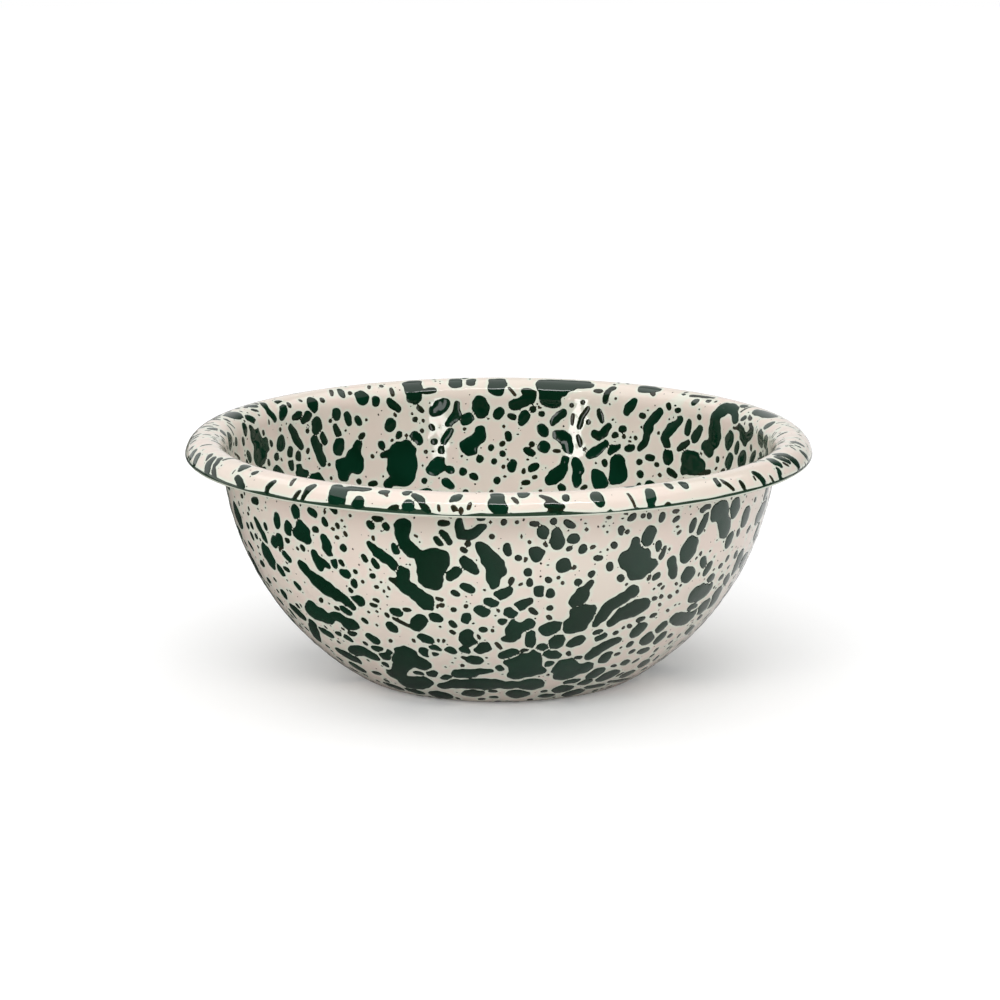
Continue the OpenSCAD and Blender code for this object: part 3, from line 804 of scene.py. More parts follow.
# Drops on the inside
insideDrops = {
    "home": 1,
    "seed": 23,
    "seen": [
        [(250.5, 427, 254, 434, 4.5), (256, 423, 255.5, 433, 4), (255, 433, 258, 443, 12),
         (260, 448, 260, 461, 13), (265, 441, 266, 448, 8)], [(270, 441.5, 271.5, 446, 4)],
        [(263, 431, 263.5, 436, 3)], [(236, 438, 236.5, 445, 2.5)], [(235.5, 454.5, 239, 458, 2.5)],
        [(268.5, 460.5, 269, 464, 3)], [(277, 455, 276.5, 458.5, 5)], [(290.5, 450.5, 290, 456.5, 5.5)],
        [(298.5, 454.5, 298.5, 460, 5.5)],
        [(262, 403, 270, 411, 4.5), (270, 411, 276, 421, 5)], [(283, 405, 283, 417, 8)],
        [(281, 438, 281, 449, 8.5)], [(294.5, 419, 300, 413.5, 7)], [(290, 427, 301, 447, 7)],
        [(312, 402, 314, 408, 11)], [(304, 421, 309, 413, 8)], [(317, 422, 316.5, 430, 10)],
        [(321.5, 434, 325, 442, 6.5)], [(314, 438, 323, 464, 9)], [(337, 411, 336.5, 416.5, 8)],
        [(335, 426, 339, 435, 6)], [(347, 415, 349, 422, 7.5)], [(357, 418, 359, 424, 7)],
        [(361, 396, 363, 399, 13)], [(340, 443, 338, 452, 11)],
        [(354, 456, 356, 465, 17), (345, 465, 344, 476, 14), (339, 462, 340, 466, 8),
         (358, 444, 357, 449, 8.5)],
        [(402, 452, 402, 474, 30), (383, 455, 392, 453, 7), (388, 483, 10)],
        [(391, 422, 390, 427, 11)], [(389, 401, 398, 410, 8)], [(290.5, 461, 292, 468, 6)],
        [(299, 465.5, 300, 470, 7), (299, 473, 305, 472.5, 8.5)],
        [(434, 410, 444, 404, 14)],
        [(457, 404, 456, 415, 7), (456, 415, 448, 424, 9)], [(466, 421, 470.5, 417.5, 10)],
        [(480, 404, 481, 411, 17)], [(497, 414.5, 500, 411.5, 9.5)],
        [(513, 405, 530, 398, 12), (524, 391, 534, 394, 7)], [(522.5, 420, 525, 415, 11)],
        [(553, 421, 563, 412, 9)],
        [(541, 427, 544, 434, 9.5)], [(544, 446.5, 12.5)],
        [(558, 436, 566, 437, 12), (567, 442, 569, 449, 11)],
        [(566, 459, 565, 466, 9), (562, 470, 551, 480, 14)],
        [(575, 463, 579, 470, 12), (576, 478, 577, 484, 10)], [(530, 470, 537, 465, 7)],
        [(511, 468.5, 513, 463, 9)], [(480, 430, 478, 440, 11), (478, 438, 465, 446, 14), (470, 450, 13)],
        [(450, 431, 444, 441, 8)], [(414.5, 434, 419, 440, 9.5)],
        [(437, 466, 16), (430, 471, 9), (450, 469, 9), (441, 459, 7)], [(446, 481, 450, 485.5, 9)],
        [(633, 403, 627, 411, 9.5)], [(599, 411, 602, 421, 6)],
        [(609, 425, 599, 438, 8), (595, 434.5, 8)], [(605, 444, 590, 456, 10)], [(611, 451, 617, 446, 9)],
        [(660, 411, 650, 424, 9), (648, 428, 10), (647, 434, 645, 442, 7), (644, 443, 640, 448, 7)],
        [(680, 419, 664, 436, 10), (664, 440, 668, 448, 7)], [(668, 453, 668, 460, 10)],
        [(682, 397, 676, 403, 8)], [(689, 422, 687, 433, 6)], [(700, 429, 694, 440, 8.5)],
        [(679, 449, 688, 443, 6)],
        [(689, 458, 696, 462, 18), (686, 470, 700, 468, 13), (700, 474, 709, 472, 5)],
        [(669, 470, 675, 476, 6)], [(715, 416, 714.5, 424, 9), (715, 426, 715, 440, 13),
         (706, 446, 709, 452, 11), (720, 412, 725, 408, 10), (725, 408, 733, 408, 11),
         (734, 411, 735, 421, 7)],
        [(731, 434, 727.5, 447, 8)], [(730, 457, 727.5, 466, 8)], [(743, 455, 741, 465, 8.5)],
        [(618, 460, 617, 470, 16), (616, 478, 620, 476, 17)],
        [(595, 472, 597, 484, 9), (600, 478, 603, 484, 12)],
        [(583, 402, 5)], [(588, 409, 582, 417, 5), (582, 417, 579, 428, 6)], [(573, 414, 572, 425, 4)],
        [(578, 436, 581, 446, 5)], [(584, 449, 5)],
        [(734, 429, 739, 426, 4.5), (741, 427, 744.5, 444, 6.5), (751, 432, 746, 440, 7),
         (750, 423, 752, 430, 4)], [(760, 432, 761, 445, 6)],
        [(766, 437, 765, 446, 5)], [(770, 436, 770, 454, 3.5)], [(754.5, 452, 751, 462, 4.5)],
        [(737.5, 444, 736.5, 452, 5)], [(230, 433, 231, 450, 4)],
        [(244, 424, 246, 434, 4.5)], [(247.5, 451.5, 250.5, 461.5, 4)],
        [(350, 393.5, 4)], [(376, 400, 376, 403, 8)], [(399, 434.5, 398.5, 437.5, 7)], [(392.5, 441, 4)],
        [(422, 431, 4.5)], [(431, 426, 433, 429, 6)], [(441, 448, 441.5, 452, 6.5)], [(491, 447, 7)],
        [(480, 458.5, 7)], [(494, 460.5, 6.5)], [(426, 452.5, 4)], [(330.5, 420.5, 4.5)], [(329, 465, 4)],
        [(541.5, 413, 6.5)], [(526, 449, 533, 454, 7)], [(554, 450.5, 559, 451, 4.5)], [(615.5, 435, 6.5)],
        [(615.5, 441.5, 5.5)], [(604.5, 461.5, 605, 465, 6)], [(627.5, 449.5, 632.5, 446.5, 7)],
        [(639.5, 461.5, 6)], [(656.5, 465.5, 5.5)], [(678, 410, 6.5)], [(674, 418, 4)],
        [(668.5, 404, 669, 408, 5)], [(659, 433, 4)], [(759.5, 455, 759.5, 459, 2)],
        [(722, 471, 725, 468, 3.5)], [(716, 468.5, 3)], [(701, 453.5, 701.5, 456.5, 2.5)],
    ],
    "fill": [
        {**largeDrops, "zones": ["wall"], "tries": 1900, "hidden": True},
        {**largeDrops, "zones": floorZones, "tries": 420},
        {**smallDrops, "zones": [*floorZones, "wall"], "tries": 3600},
    ],
    "buds": [{**budDrops, "zones": [*floorZones, "wall"], "tries": 900, "hidden": True}],
    "specks": {**spray, "zones": [*floorZones, "wall"], "tries": 1400},
}

# Drops and streaks over the roll, and the green along its cut edge
rimDrops = {
    "home": 2,
    "seen": [
        [(214, 459, 204, 471, 7)], [(221, 458, 214, 465, 4.5), (214, 465, 213, 477, 4.5)],
        [(240, 468, 248, 466, 5)], [(238, 479, 241, 486, 8), (233, 487, 241, 489, 5)],
        [(275, 481, 268, 487, 4.5), (268, 487, 266, 495, 4.5)], [(300, 491, 294, 498, 4)],
        [(315, 485, 308, 489, 5), (308, 489, 302, 499, 5)],
        [(336, 489, 340, 489, 11), (335, 495, 341, 495, 13), (334, 501, 342, 501, 10),
         (346, 488, 371, 489, 4)],
        [(359, 502, 357, 507, 12)], [(381, 492, 388, 492, 4.5), (385, 493, 387, 496, 3)],
        [(405, 493, 410, 492, 4)], [(414, 495, 421, 500, 7), (422, 505, 428, 511, 7)],
        [(409, 505, 409, 509, 12)], [(452, 501, 460, 496, 7)],
        [(495, 496, 500, 497, 10), (495, 504, 501, 509, 15)], [(520, 494, 527, 494, 7)],
        [(541, 495, 556, 503, 4.5), (547, 506, 562, 506, 7), (550, 511, 560, 512, 6)], [(566, 498, 7)],
        [(595, 493, 600, 503, 11)], [(628, 493, 636, 507, 2.5)], [(649, 493, 653, 504, 10)],
        [(666, 484, 672, 487, 4)], [(681, 482, 686, 487, 6)], [(715, 479, 719, 484, 5)],
        [(720, 479, 735, 490, 3.5)], [(740, 481, 745, 489, 3.5)],
        [(753, 472, 760, 476, 4), (760, 476, 765, 484, 4.5)],
        [(769, 459, 776, 462, 4.5), (776, 462, 781, 466, 4.5)], [(777, 468, 782, 478, 4.5)],
        [(775, 456, 790, 461, 4)], [(775, 454, 790, 456, 4.5), (790, 456, 800, 467, 4.5)],
        [(800, 451, 810, 459, 3)], [(331, 391, 332, 394, 4)], [(339, 390, 343, 394, 6)],
        [(391, 388, 393, 395, 4)],
        [(408, 381.5, 420, 382, 4), (405, 384, 420, 387, 7), (409, 391, 417, 391, 10), (414, 397, 14),
         (425, 391, 434, 390, 6)],
        [(490, 380.5, 504, 380, 4), (491, 385, 504, 384, 7), (491, 390, 500, 392, 9)],
        [(540, 381.5, 590, 383, 4), (540, 385, 575, 386.5, 9), (575, 386, 592, 385.5, 5.5),
         (544, 392, 563, 391.5, 13), (546, 401, 555, 402, 14)],
        [(608, 391, 605, 401, 6), (610, 389, 614, 388, 4)],
        [(452, 381, 460, 380.5, 5), (452, 385, 460, 385, 6)],
        [(468, 380.5, 474, 380.5, 4), (468, 384, 473, 384, 4)],
        [(595, 391, 601, 391, 4)],
        [(640, 387.5, 656, 388, 4), (640, 390, 660, 390, 5), (653, 394, 4.5)],
        [(677, 401, 683, 396, 6.5)], [(690, 396, 714, 398, 2.5)], [(226, 414.5, 241, 415, 7)],
        [(247, 417, 254, 421, 6), (254, 421, 256, 429, 4)], [(250, 409, 258, 411, 3)],
        [(246, 406, 257, 406, 3)], [(206, 436, 217, 437, 8)], [(209, 428, 217, 429, 3)],
        [(220, 430, 226, 435, 2.5)], [(190, 458, 196, 449, 3)], [(194, 464, 199, 453, 4)],
        [(212, 454, 207, 459, 3.5)], [(754, 412, 774, 416, 8)], [(741, 406, 747, 406, 3)],
        [(784, 425, 799, 429, 6)], [(749, 413, 750, 420, 4)],
        [(742, 420, 746, 416, 4)], [(764, 428, 772, 423, 4)], [(795, 445, 801, 448, 2)],
        [(790, 440, 806, 446, 2)], [(390, 509, 396, 507, 6)], [(438.5, 505, 439, 511, 3)],
        [(453, 504, 454, 510, 5)], [(461, 508, 461, 513, 4)], [(470, 504, 468.5, 509, 4)],
        [(513, 498, 517, 502, 4)], [(668, 505, 5)], [(276, 401.5, 282, 403, 4)],
        [(288, 403.5, 290, 406.5, 3)], [(252, 474, 258, 471.5, 3)],
        [(770, 476, 773.5, 482, 2)], [(783, 462.5, 789, 466, 2)],
        [(693.5, 403, 697, 400.5, 5)], [(706.5, 401.5, 710, 400.5, 3)],
    ],
    "fill": [
        {**streaks, "tries": 260, "r": (0.5, 2.0), "hidden": True,
         "skew": 1.6, "stretch": 1.8, "crowd": (0.8, 1.6), "spread": 0.7},
        {**streaks, "turn": (72, 122), "tries": 110, "r": (0.25, 0.5),
         "skew": 1.2, "stretch": 5.0, "crowd": (0.9, 1.6), "spread": 0.3},
        {**streaks, "turn": (-122, -72), "tries": 130, "r": (0.3, 0.9),
         "skew": 1.2, "stretch": 4.0, "crowd": (0.9, 1.6), "spread": 0.3},
        {**streaks, "turn": (38, 322), "tries": 170, "r": (0.25, 0.7),
         "skew": 1.4, "stretch": 3.0, "crowd": (1.1, 2.0), "spread": 0.5},
    ],
    "specks": {"zones": ["roll"], "tries": 260, "r": (0.09, 0.26), "skew": 1.4},
    "lip": {
        # height of the green over the edge in mm at these turns in degrees
        "high": [(-180, 0.7), (-60, 0.55), (-30, 0.75), (-13, 0.75), (-10, 0.1), (-6, 0.1), (-3, 0.75),
                 (12, 0.7), (17, 0.1), (21, 0.1), (25, 0.45), (70, 0.45), (180, 0.7)],
        "swing": 0.25,
        "swingWaves": (6, 40),  # mm
        "spikes": 70,
        "spikeHigh": (0.2, 0.9),
        "spikeWide": (0.25, 0.7),
        "spikeSkew": 2,
        "spikeFall": 0.6,
        "size": 9.0,  # larger than any drop's, which tells the band from the drops
    },
}


def lipGlaze(skin, lip, home):
    # a band of green with a ragged top along the cut edge of the roll
    rng = skin["rng"]
    rollX = arcs["roll"][0]
    circle = np.stack([np.sin(columnTurn), np.cos(columnTurn), 0 * columnTurn], -1) * rollX
    degrees = (np.degrees(columnTurn) + 180) % 360 - 180
    mean = np.interp(degrees, *zip(*lip["high"]))
    high = mean * (1 + lip["swing"] * ripple(circle, rng, *lip["swingWaves"]))
    for at, tall, wide in rng.random((lip["spikes"], 3)):
        away = (columnTurn - at * 2 * np.pi + np.pi) % (2 * np.pi) - np.pi
        tall, wide = between(lip["spikeHigh"], tall ** lip["spikeSkew"]), between(lip["spikeWide"], wide)
        high = np.maximum(high, tall - lip["spikeFall"] * (away * rollX / wide) ** 2)
    rows = np.nonzero(skin["zone"] == "roll")[0]
    band = high[None, :] - (skin["along"][-1] - skin["along"][rows])[:, None]
    inBand = band > skin["gap"][rows]
    skin["size"][rows] = np.where(inBand, lip["size"], skin["size"][rows])
    skin["home"][rows] = np.where(inBand, home, skin["home"][rows])
    skin["gap"][rows] = np.maximum(skin["gap"][rows], band)


outside = makeSkin(0.0, 1, outsideDrops["seed"])
inside = makeSkin(bowl["sheetT"], -1, insideDrops["seed"])
wallTop = arcs["roll"][0] - arcs["roll"][2]  # mm from the axis
outside.update(tree=coatTree("outside_cover_coat"), reach=wallTop + cast["wallSpare"])
inside.update(tree=coatTree("inside_cover_coat"), reach=bowl["rimD"])
carriers = ((outside, outsideDrops), (outside, baseDrops), (inside, insideDrops), (inside, rimDrops))
placed = [placeDrops(skin, drops) for skin, drops in carriers if "seen" in drops]
print("drops placed by the photograph:", placed)
filled = []
for skin, drops in carriers:
    for lay in drops["fill"] + drops.get("buds", []):
        filled.append(scatterDrops(skin, lay, drops["home"]))
print("drops scattered:", filled)
wobbleOutlines(outside)
wobbleOutlines(inside)
lipGlaze(inside, rimDrops["lip"], rimDrops["home"])
outside["gap"][outside["z"] < pools["clear"]] = pools["worn"]  # the standing ring is worn bare
for skin in (outside, inside):
    skin["tris"] = gridTriangles(skin)


def coveredShare(skin, zone):
    area = skin["x"] * np.gradient(skin["along"]) * (skin["zone"] == zone)
    return round(float(area @ (skin["gap"] > 0).mean(1) / area.sum()), 3)


print("covered:", coveredShare(outside, "wall"), coveredShare(inside, "wall"), coveredShare(inside, "roll"))


def greenPiece(name, skin, drops):
    return dropPiece(name, [dropRelief(skin, drops["home"]), speckRelief(skin, drops["specks"])])


creamOutside = coatPiece("cream_outside", outside, bowl["coverT"])
creamInside = coatPiece("cream_inside", inside, bowl["sheetT"] - bowl["coverT"])
greenOutside = greenPiece("drops_outside", outside, outsideDrops)
greenBase = greenPiece("drops_base", outside, baseDrops)
greenInside = greenPiece("drops_inside", inside, insideDrops)
greenRim = greenPiece("drops_rim", inside, rimDrops)

# Bead of enamel on the cut edge
bead = {
    "sides": 22,
    "swell": 0.05,     # share of its height that it varies by
    "waves": (3, 20),  # mm
    "seed": 5,
    "tongue": 0.12,    # mm that it goes up into the sheet
}


def beadPiece(name):
    cx, cz = arcs["roll"][:2]
    tilt = math.radians(bowl["rollEnd"])
    beadR = bowl["sheetT"] / 2
    out = bowl["rollR"] - beadR
    rng = np.random.default_rng(bead["seed"])
    turn = columnTurn[::coat["columns"]]
    n, sides = len(turn), bead["sides"]
    circle = np.stack([np.sin(turn), np.cos(turn), 0 * turn], -1) * cx
    swell = 1 - bead["swell"] * (0.5 + 0.5 * np.clip(ripple(circle, rng, *bead["waves"]), -1, 1))
    angle = np.pi + np.pi * np.arange(sides + 1) / sides  # half round below the cut
    px = np.append(out + beadR * np.cos(angle), out)
    pz = np.append(beadR * np.sin(angle), bead["tongue"])
    lx = px[:, None] + 0 * turn
    lz = pz[:, None] * np.where(pz[:, None] < 0, swell[None, :], 1)
    x = cx + lx * math.cos(tilt) - lz * math.sin(tilt)
    z = cz + lx * math.sin(tilt) + lz * math.cos(tilt)
    points = around(x, z, turn).reshape(-1, 3)
    quads, quadMap = ringQuads(n, np.linspace(0, 1, len(px) + 1), closed=True)
    # how far down the bead each ring lies, which the edge material uses to paint floor light on the
    # underside
    under = np.clip(-pz / beadR, 0, 1)
    return newPiece(name, points, [quads], None, quadMap.reshape(-1, 2), {"under": np.repeat(under, n)})


edgeBead = beadPiece("edge_bead")

for piece, cadNode, slot in (
    (creamOutside, "outside_cover_coat", "cream_enamel"),
    (creamInside, "inside_cover_coat", "cream_enamel"),
    (greenOutside, "outside_spatter", "green_enamel"),
    (greenInside, "inside_spatter", "green_enamel"),
    (greenRim, "rim_spatter", "green_enamel"),
    (greenBase, "base_spatter", "green_enamel"),
    (edgeBead, "rim_edge_bead", "edge_enamel"),
):
    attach(piece, "root")
    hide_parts(cadNode)
    print("piece", piece.name, sum(len(p.vertices) - 2 for p in piece.data.polygons), "triangles")


# Materials
def addNode(tree, kind, values=None, **settings):
    node = tree.nodes.new("ShaderNode" + kind)
    for key, value in settings.items():
        setattr(node, key, value)
    for key, value in (values or {}).items():
        socket = node.inputs[key]
        if isinstance(value, bpy.types.NodeSocket):
            tree.links.new(value, socket)
        else:
            socket.default_value = value
    return node


def mixColour(tree, factor, a, b):
    node = addNode(tree, "Mix", data_type="RGBA")
    for socket, value in ((node.inputs[0], factor), (node.inputs[6], a), (node.inputs[7], b)):
        if isinstance(value, bpy.types.NodeSocket):
            tree.links.new(value, socket)
        else:
            socket.default_value = value if isinstance(value, float) else (*value, 1)
    return node.outputs[2]


def mixValue(tree, factor, a, b):
    return addNode(tree, "Mix", {0: factor, 2: a, 3: b}, data_type="FLOAT").outputs[0]


def calc(tree, operation, *values):
    return addNode(tree, "Math", dict(enumerate(values)), operation=operation).outputs[0]


def spread(tree, value, fromLow, fromHigh, toLow=0.0, toHigh=1.0):
    limits = {"From Min": fromLow, "From Max": fromHigh, "To Min": toLow, "To Max": toHigh}
    return addNode(tree, "MapRange", {"Value": value, **limits}, interpolation_type="SMOOTHSTEP").outputs[0]


def firedGloss():
    # glaze that flowed while it melted: slow waves, fine pits and a slightly uneven gloss
    group = bpy.data.node_groups.new("firedGloss", "ShaderNodeTree")
    face = group.interface
    inputs = {"Wave Size": 6.0, "Pit Size": 0.5, "Pit Depth": 0.1, "Tone Size": 18.0}
    inputs.update({"Gloss": 0.1, "Unevenness": 0.08})
    for name, value in inputs.items():
        face.new_socket(name, in_out="INPUT", socket_type="NodeSocketFloat").default_value = value
    for name in ("Tone", "Roughness", "Height"):
        face.new_socket(name, in_out="OUTPUT", socket_type="NodeSocketFloat")
    into, out = group.nodes.new("NodeGroupInput"), group.nodes.new("NodeGroupOutput")
    spot = addNode(group, "TexCoord").outputs["Object"]

    def noise(size, detail):
        perMetre = calc(group, "DIVIDE", 1000.0, into.outputs[size])  # sizes are in mm
        return addNode(group, "TexNoise", {"Vector": spot, "Scale": perMetre, "Detail": detail}).outputs[0]

    tone = noise("Tone Size", 4.0)
    pits = calc(group, "MULTIPLY", noise("Pit Size", 1.0), into.outputs["Pit Depth"])
    height = calc(group, "ADD", noise("Wave Size", 1.0), pits)
    uneven = calc(group, "MULTIPLY_ADD", tone, into.outputs["Unevenness"], into.outputs["Gloss"])
    for name, value in (("Tone", tone), ("Roughness", uneven), ("Height", height)):
        group.links.new(value, out.inputs[name])
    return group


gloss = firedGloss()
glazeIor = 1.52


def newMaterial(name, values, finish):
    # a principled shader with the fired gloss for its roughness and bump
    material = bpy.data.materials.new(name)
    material.use_nodes = True
    tree = material.node_tree
    tree.nodes.clear()
    shader = addNode(tree, "BsdfPrincipled", values)
    output = addNode(tree, "OutputMaterial")
    tree.links.new(shader.outputs[0], output.inputs["Surface"])
    effect = addNode(tree, "Group", node_tree=gloss)
    for key, value in finish["gloss"].items():
        effect.inputs[key].default_value = value
    bump = addNode(tree, "Bump", {"Distance": finish["bump"], "Height": effect.outputs["Height"]})
    tree.links.new(effect.outputs["Roughness"], shader.inputs["Roughness"])
    tree.links.new(bump.outputs["Normal"], shader.inputs["Normal"])
    return material, tree, shader, effect


def mark(tree, name):
    return addNode(tree, "Attribute", attribute_name=name).outputs["Fac"]


# Cream enamel, with a paler green-tinged line round each drop
creamGlaze = {
    "cream": (0.72, 0.64, 0.555),
    "pink": (0.745, 0.63, 0.555),
    "halo": (0.67, 0.72, 0.615),
    "haloFrom": (-1.0, -0.05),  # mm from the drop
    "haloPart": 0.85,
    "toneFrom": (0.35, 0.65),
    "gloss": {"Wave Size": 3.6, "Pit Size": 0.8, "Pit Depth": 0.03, "Gloss": 0.02, "Unevenness": 0.05},
    "bump": 0.00012,
}
creamEnamel, tree, shader, effect = newMaterial("cream_enamel", {"IOR": glazeIor}, creamGlaze)
halo = spread(tree, mark(tree, "dropGap"), *creamGlaze["haloFrom"], 0.0, creamGlaze["haloPart"])
tint = spread(tree, effect.outputs["Tone"], *creamGlaze["toneFrom"])
body = mixColour(tree, tint, creamGlaze["cream"], creamGlaze["pink"])
tree.links.new(mixColour(tree, halo, body, creamGlaze["halo"]), shader.inputs["Base Color"])

# Green enamel, brown where it is thin
greenGlaze = {
    "thin": (0.035, 0.026, 0.013),
    "middle": (0.005, 0.013, 0.005),
    "full": (0.0008, 0.018, 0.007),
    "light": (0.0015, 0.028, 0.013),
    "band": (0.024, 0.046, 0.027),
    "toneFrom": (0.35, 0.7),
    "middleFrom": (0.1, 0.45),  # thickness over which each colour passes into the next
    "fullFrom": (0.35, 0.8),
    "bandFrom": (1.1, 1.6),
    "sheen": 0.5,
    "shadedSheenInside": 0.2,  # less reflection on the drops in the bowl: painted shade in the gloss, for the darker surroundings they mirror
    "gloss": {"Wave Size": 5.0, "Pit Size": 0.7, "Pit Depth": 0.03, "Gloss": 0.02, "Unevenness": 0.05},
    "bump": 0.00008,
}


def greenMaterial(name, sheen):
    values = {"IOR": glazeIor, "Specular IOR Level": sheen}
    material, tree, shader, effect = newMaterial(name, values, greenGlaze)
    thick = mark(tree, "thick")
    tint = spread(tree, effect.outputs["Tone"], *greenGlaze["toneFrom"])
    limits = (greenGlaze[key] for key in ("middleFrom", "fullFrom", "bandFrom"))
    middle, full, band = (spread(tree, thick, *limit) for limit in limits)
    deep = mixColour(tree, tint, greenGlaze["full"], greenGlaze["light"])
    edge = mixColour(tree, middle, greenGlaze["thin"], greenGlaze["middle"])
    drop = mixColour(tree, full, edge, deep)
    tree.links.new(mixColour(tree, band, drop, greenGlaze["band"]), shader.inputs["Base Color"])
    return material


greenEnamel = greenMaterial("green_enamel", greenGlaze["sheen"])
# a copy of the green enamel with less reflection, painted shade in the gloss of the drops in the bowl
shadedGreenEnamel = greenMaterial("green_enamel_shaded_inside", greenGlaze["shadedSheenInside"])

# Edge bead, dark at the top; its pale underside is painted light, the lit floor below it
edgeGlaze = {
    "dark": (0.012, 0.028, 0.018),
    "teal": (0.012, 0.075, 0.05),
    "paintedFloorLight": (0.60, 0.62, 0.52),
    "paintedFloorLightFrom": (0.12, 0.32),  # share of the way down the bead over which the painted floor light comes in
    "toneFrom": (0.42, 0.6),
    "gloss": {"Wave Size": 9.0, "Pit Size": 1.0, "Pit Depth": 0.05, "Gloss": 0.04, "Unevenness": 0.06},
    "bump": 0.0001,
}
edgeEnamel, tree, shader, effect = newMaterial("edge_enamel", {"IOR": glazeIor}, edgeGlaze)
tint = spread(tree, effect.outputs["Tone"], *edgeGlaze["toneFrom"])
colour = mixColour(tree, tint, edgeGlaze["dark"], edgeGlaze["teal"])
# painted light: the lower part of the bead turns pale as if lit by the floor below
paintedFloorLight = spread(tree, mark(tree, "under"), *edgeGlaze["paintedFloorLightFrom"])
tree.links.new(mixColour(tree, paintedFloorLight, colour, edgeGlaze["paintedFloorLight"]), shader.inputs["Base Color"])

# Ground coat and sheet, which show only where a coat is taken off
groundGlaze = {
    "dark": (0.03, 0.05, 0.042),
    "light": (0.07, 0.1, 0.085),
    "gloss": {"Wave Size": 5.0, "Pit Size": 0.6, "Pit Depth": 0.1, "Gloss": 0.2, "Unevenness": 0.15},
    "bump": 0.0001,
}
steelFinish = {
    "dark": (0.5, 0.51, 0.52),
    "light": (0.66, 0.67, 0.68),
    "gloss": {"Wave Size": 3.0, "Pit Size": 0.3, "Pit Depth": 0.2, "Gloss": 0.3, "Unevenness": 0.2},
    "bump": 0.00003,
}


def toneMaterial(name, values, finish):
    material, tree, shader, effect = newMaterial(name, values, finish)
    colour = mixColour(tree, effect.outputs["Tone"], finish["dark"], finish["light"])
    tree.links.new(colour, shader.inputs["Base Color"])
    return material


groundEnamel = toneMaterial("ground_enamel", {"IOR": glazeIor}, groundGlaze)
sheetSteel = toneMaterial("sheet_steel", {"Metallic": 1.0}, steelFinish)


def dress(thing, material):
    thing.data.materials.clear()
    thing.data.materials.append(material)


for piece in (creamOutside, creamInside):
    dress(piece, creamEnamel)
for piece in (greenOutside, greenRim, greenBase):
    dress(piece, greenEnamel)
# the drops in the bowl take the shaded copy
dress(greenInside, shadedGreenEnamel)
dress(edgeBead, edgeEnamel)
hidden = {"steel_body": sheetSteel, "inside_ground_coat": groundEnamel, "outside_ground_coat": groundEnamel}
for cadNode, material in hidden.items():
    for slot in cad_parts[cadNode].material_slots:
        slot.material = material
print("materials on")

# Studio; soft lamps light the colours, and the ones with gloss only show as reflections
studio = {
    "floorR": 1.6,
    "floorSides": 96,
    "floorDrop": 0.00002,        # keeps the floor off the standing ring
    "floorColour": (0.82, 0.82, 0.82),
    "floorGlowShadedNear": (0.145, 0.22),  # the floor's own white glow for the camera, weaker in the bowl's shadow than around it: even white, plus painted shade near the bowl
    "floorGlowShadedNearR": (0.046, 0.072),
    "farLift": 0.12,             # what keeps the far floor white
    "farLiftR": (0.2, 0.8),
    "worldFill": 0.75,
    "roomGloss": 0.05,           # the dark room on the camera's side, seen in the gloss
    "backGloss": 0.8,            # the bright sides and back
    "backWay": (-0.4, 0.92, 0.0),
    "backFrom": (0.45, 0.85),    # how far to that way it gets bright
    "floorGloss": (0.05, 1.0),   # the floor in the gloss, on the left and on the right
    "floorGlossX": (-0.09, 0.11),
    "lamps": [
        {"name": "overhead", "at": (0, 0.45, 1.3), "aim": (0, 0.35, 0), "size": (2.4, 1.5),
         "bright": 0.52},
        {"name": "frontHigh", "at": (0, -1.1, 1.0), "aim": (0, 0.05, 0.04), "size": (1.0, 0.6),
         "bright": 3.1},
        {"name": "fillLeft", "at": (-1.1, -1.4, 0.85), "aim": (0, 0, 0.03), "size": (0.7, 0.9),
         "bright": 3.2},
        {"name": "fillRight", "at": (1.1, -1.4, 0.85), "aim": (0, 0, 0.03), "size": (0.7, 0.9),
         "bright": 1.0},
    ],
    "sheens": [
        {"name": "overheadSheen", "at": (0, 0.325, 1.3), "aim": (0, 0.325, 0), "size": (2.4, 1.75),
         "bright": 1.35},
        {"name": "overheadEdge", "at": (0, -0.58, 1.3), "aim": (0, 0, 0), "size": (1.4, 0.07),
         "bright": 16.0},
        {"name": "windowLeft", "at": (0.032, -0.03, 0.0615), "aim": (0.032, 0.1, 0.0615),
         "size": (0.008, 0.038), "bright": 7.0},
        {"name": "windowRight", "at": (-0.045, -0.03, 0.0615), "aim": (-0.045, 0.1, 0.0615),
         "size": (0.009, 0.038), "bright": 9.0},
    ],
}


def newLamp(lamp, sheen):
    data = bpy.data.lights.new(lamp["name"], "AREA")
    data.shape = "RECTANGLE"
    data.size, data.size_y = lamp["size"]
    data.energy = lamp["bright"] * math.pi * data.size * data.size_y  # even radiance in W/sr/m2
    thing = bpy.data.objects.new(lamp["name"], data)
    thing.location = lamp["at"]
    thing.rotation_euler = (Vector(lamp["at"]) - Vector(lamp["aim"])).to_track_quat("Z", "Y").to_euler()
    thing.visible_camera = False
    thing.visible_glossy = sheen
    thing.visible_diffuse = not sheen
    bpy.context.scene.collection.objects.link(thing)


for lamp in studio["lamps"]:
    newLamp(lamp, False)
for lamp in studio["sheens"]:
    newLamp(lamp, True)


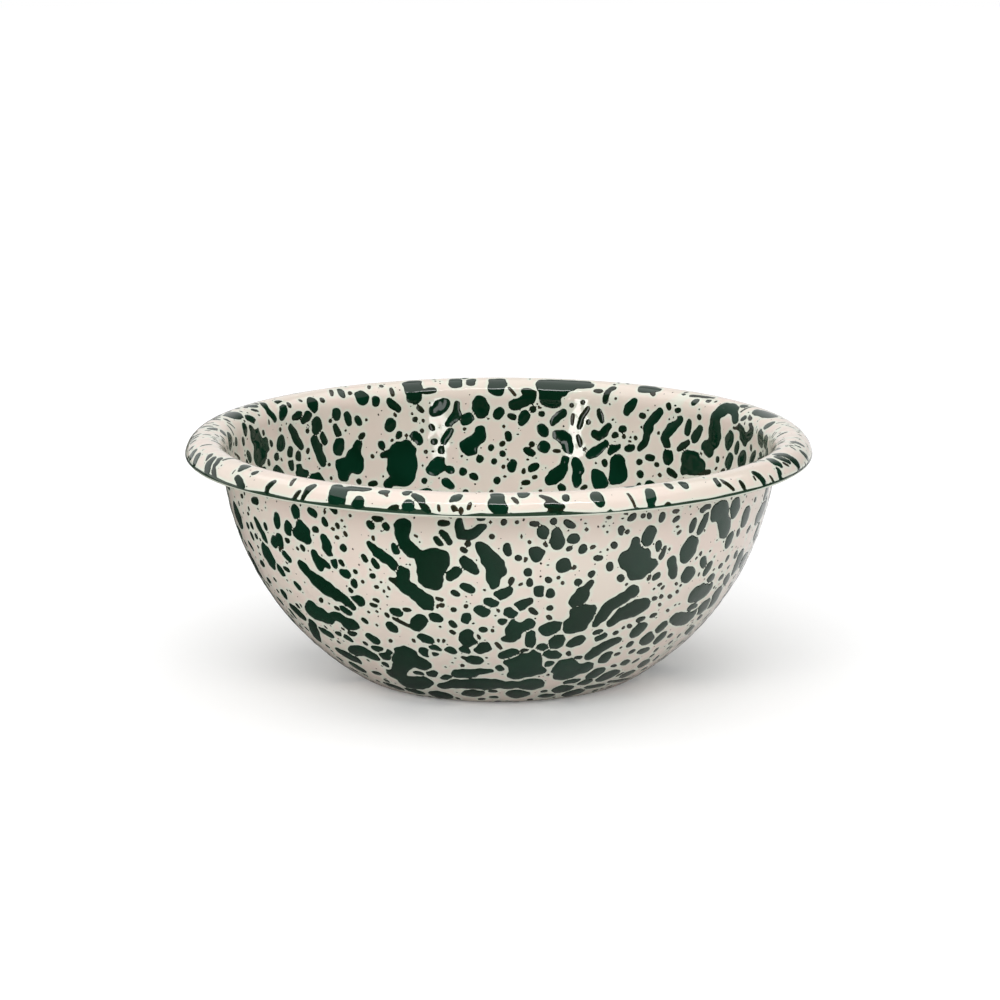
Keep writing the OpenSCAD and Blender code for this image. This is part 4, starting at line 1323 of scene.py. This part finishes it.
def makeFloor():
    sides = studio["floorSides"]
    turn = np.arange(sides) * 2 * np.pi / sides
    ring = np.stack([np.cos(turn), np.sin(turn), 0 * turn], -1) * studio["floorR"] * 1000
    k = np.arange(sides)
    fan = np.stack([np.full(sides, sides), k, (k + 1) % sides], -1)
    floor = newPiece("floor", np.concatenate([ring, [[0, 0, 0]]]), [fan])
    floor.location.z = -studio["floorDrop"]
    material = bpy.data.materials.new("pale_floor")
    material.use_nodes = True
    tree = material.node_tree
    tree.nodes.clear()
    path = addNode(tree, "LightPath")
    spot = addNode(tree, "NewGeometry").outputs["Position"]
    across = addNode(tree, "SeparateXYZ", {0: spot}).outputs[0]
    dim = spread(tree, across, *studio["floorGlossX"], *studio["floorGloss"])
    dimmed = mixValue(tree, path.outputs["Is Glossy Ray"], 1.0, dim)
    shade = addNode(tree, "VectorMath", {0: studio["floorColour"], "Scale": dimmed}, operation="SCALE")
    matt = addNode(tree, "BsdfDiffuse", {"Color": shade.outputs[0]})
    away = addNode(tree, "VectorMath", {0: spot}, operation="LENGTH").outputs["Value"]
    # painted shade: a weaker glow close to the bowl darkens its shadow; the far glow keeps the far floor
    # white
    near = spread(tree, away, *studio["floorGlowShadedNearR"], *studio["floorGlowShadedNear"])
    far = spread(tree, away, *studio["farLiftR"], 0.0, studio["farLift"])
    lift = calc(tree, "MULTIPLY", path.outputs["Is Camera Ray"], calc(tree, "ADD", near, far))
    glow = addNode(tree, "Emission", {"Strength": lift})
    both = addNode(tree, "AddShader", {0: matt.outputs[0], 1: glow.outputs[0]})
    addNode(tree, "OutputMaterial", {"Surface": both.outputs[0]})
    dress(floor, material)


makeFloor()

world = bpy.data.worlds.new("studio")
bpy.context.scene.world = world
world.use_nodes = True
tree = world.node_tree
tree.nodes.clear()
path = addNode(tree, "LightPath")
mirror = calc(tree, "MAXIMUM", path.outputs["Is Glossy Ray"], path.outputs["Is Transmission Ray"])
way = addNode(tree, "TexCoord").outputs["Generated"]
toBack = addNode(tree, "VectorMath", {0: way, 1: studio["backWay"]}, operation="DOT_PRODUCT")
room = spread(tree, toBack.outputs["Value"], *studio["backFrom"], studio["roomGloss"], studio["backGloss"])
level = mixValue(tree, mirror, studio["worldFill"], room)
level = mixValue(tree, path.outputs["Is Camera Ray"], level, 1.0)
sky = addNode(tree, "Background", {"Color": (1, 1, 1, 1), "Strength": level})
addNode(tree, "OutputWorld", {"Surface": sky.outputs[0]})

bpy.context.scene.view_settings.view_transform = "Standard"
print("studio set")
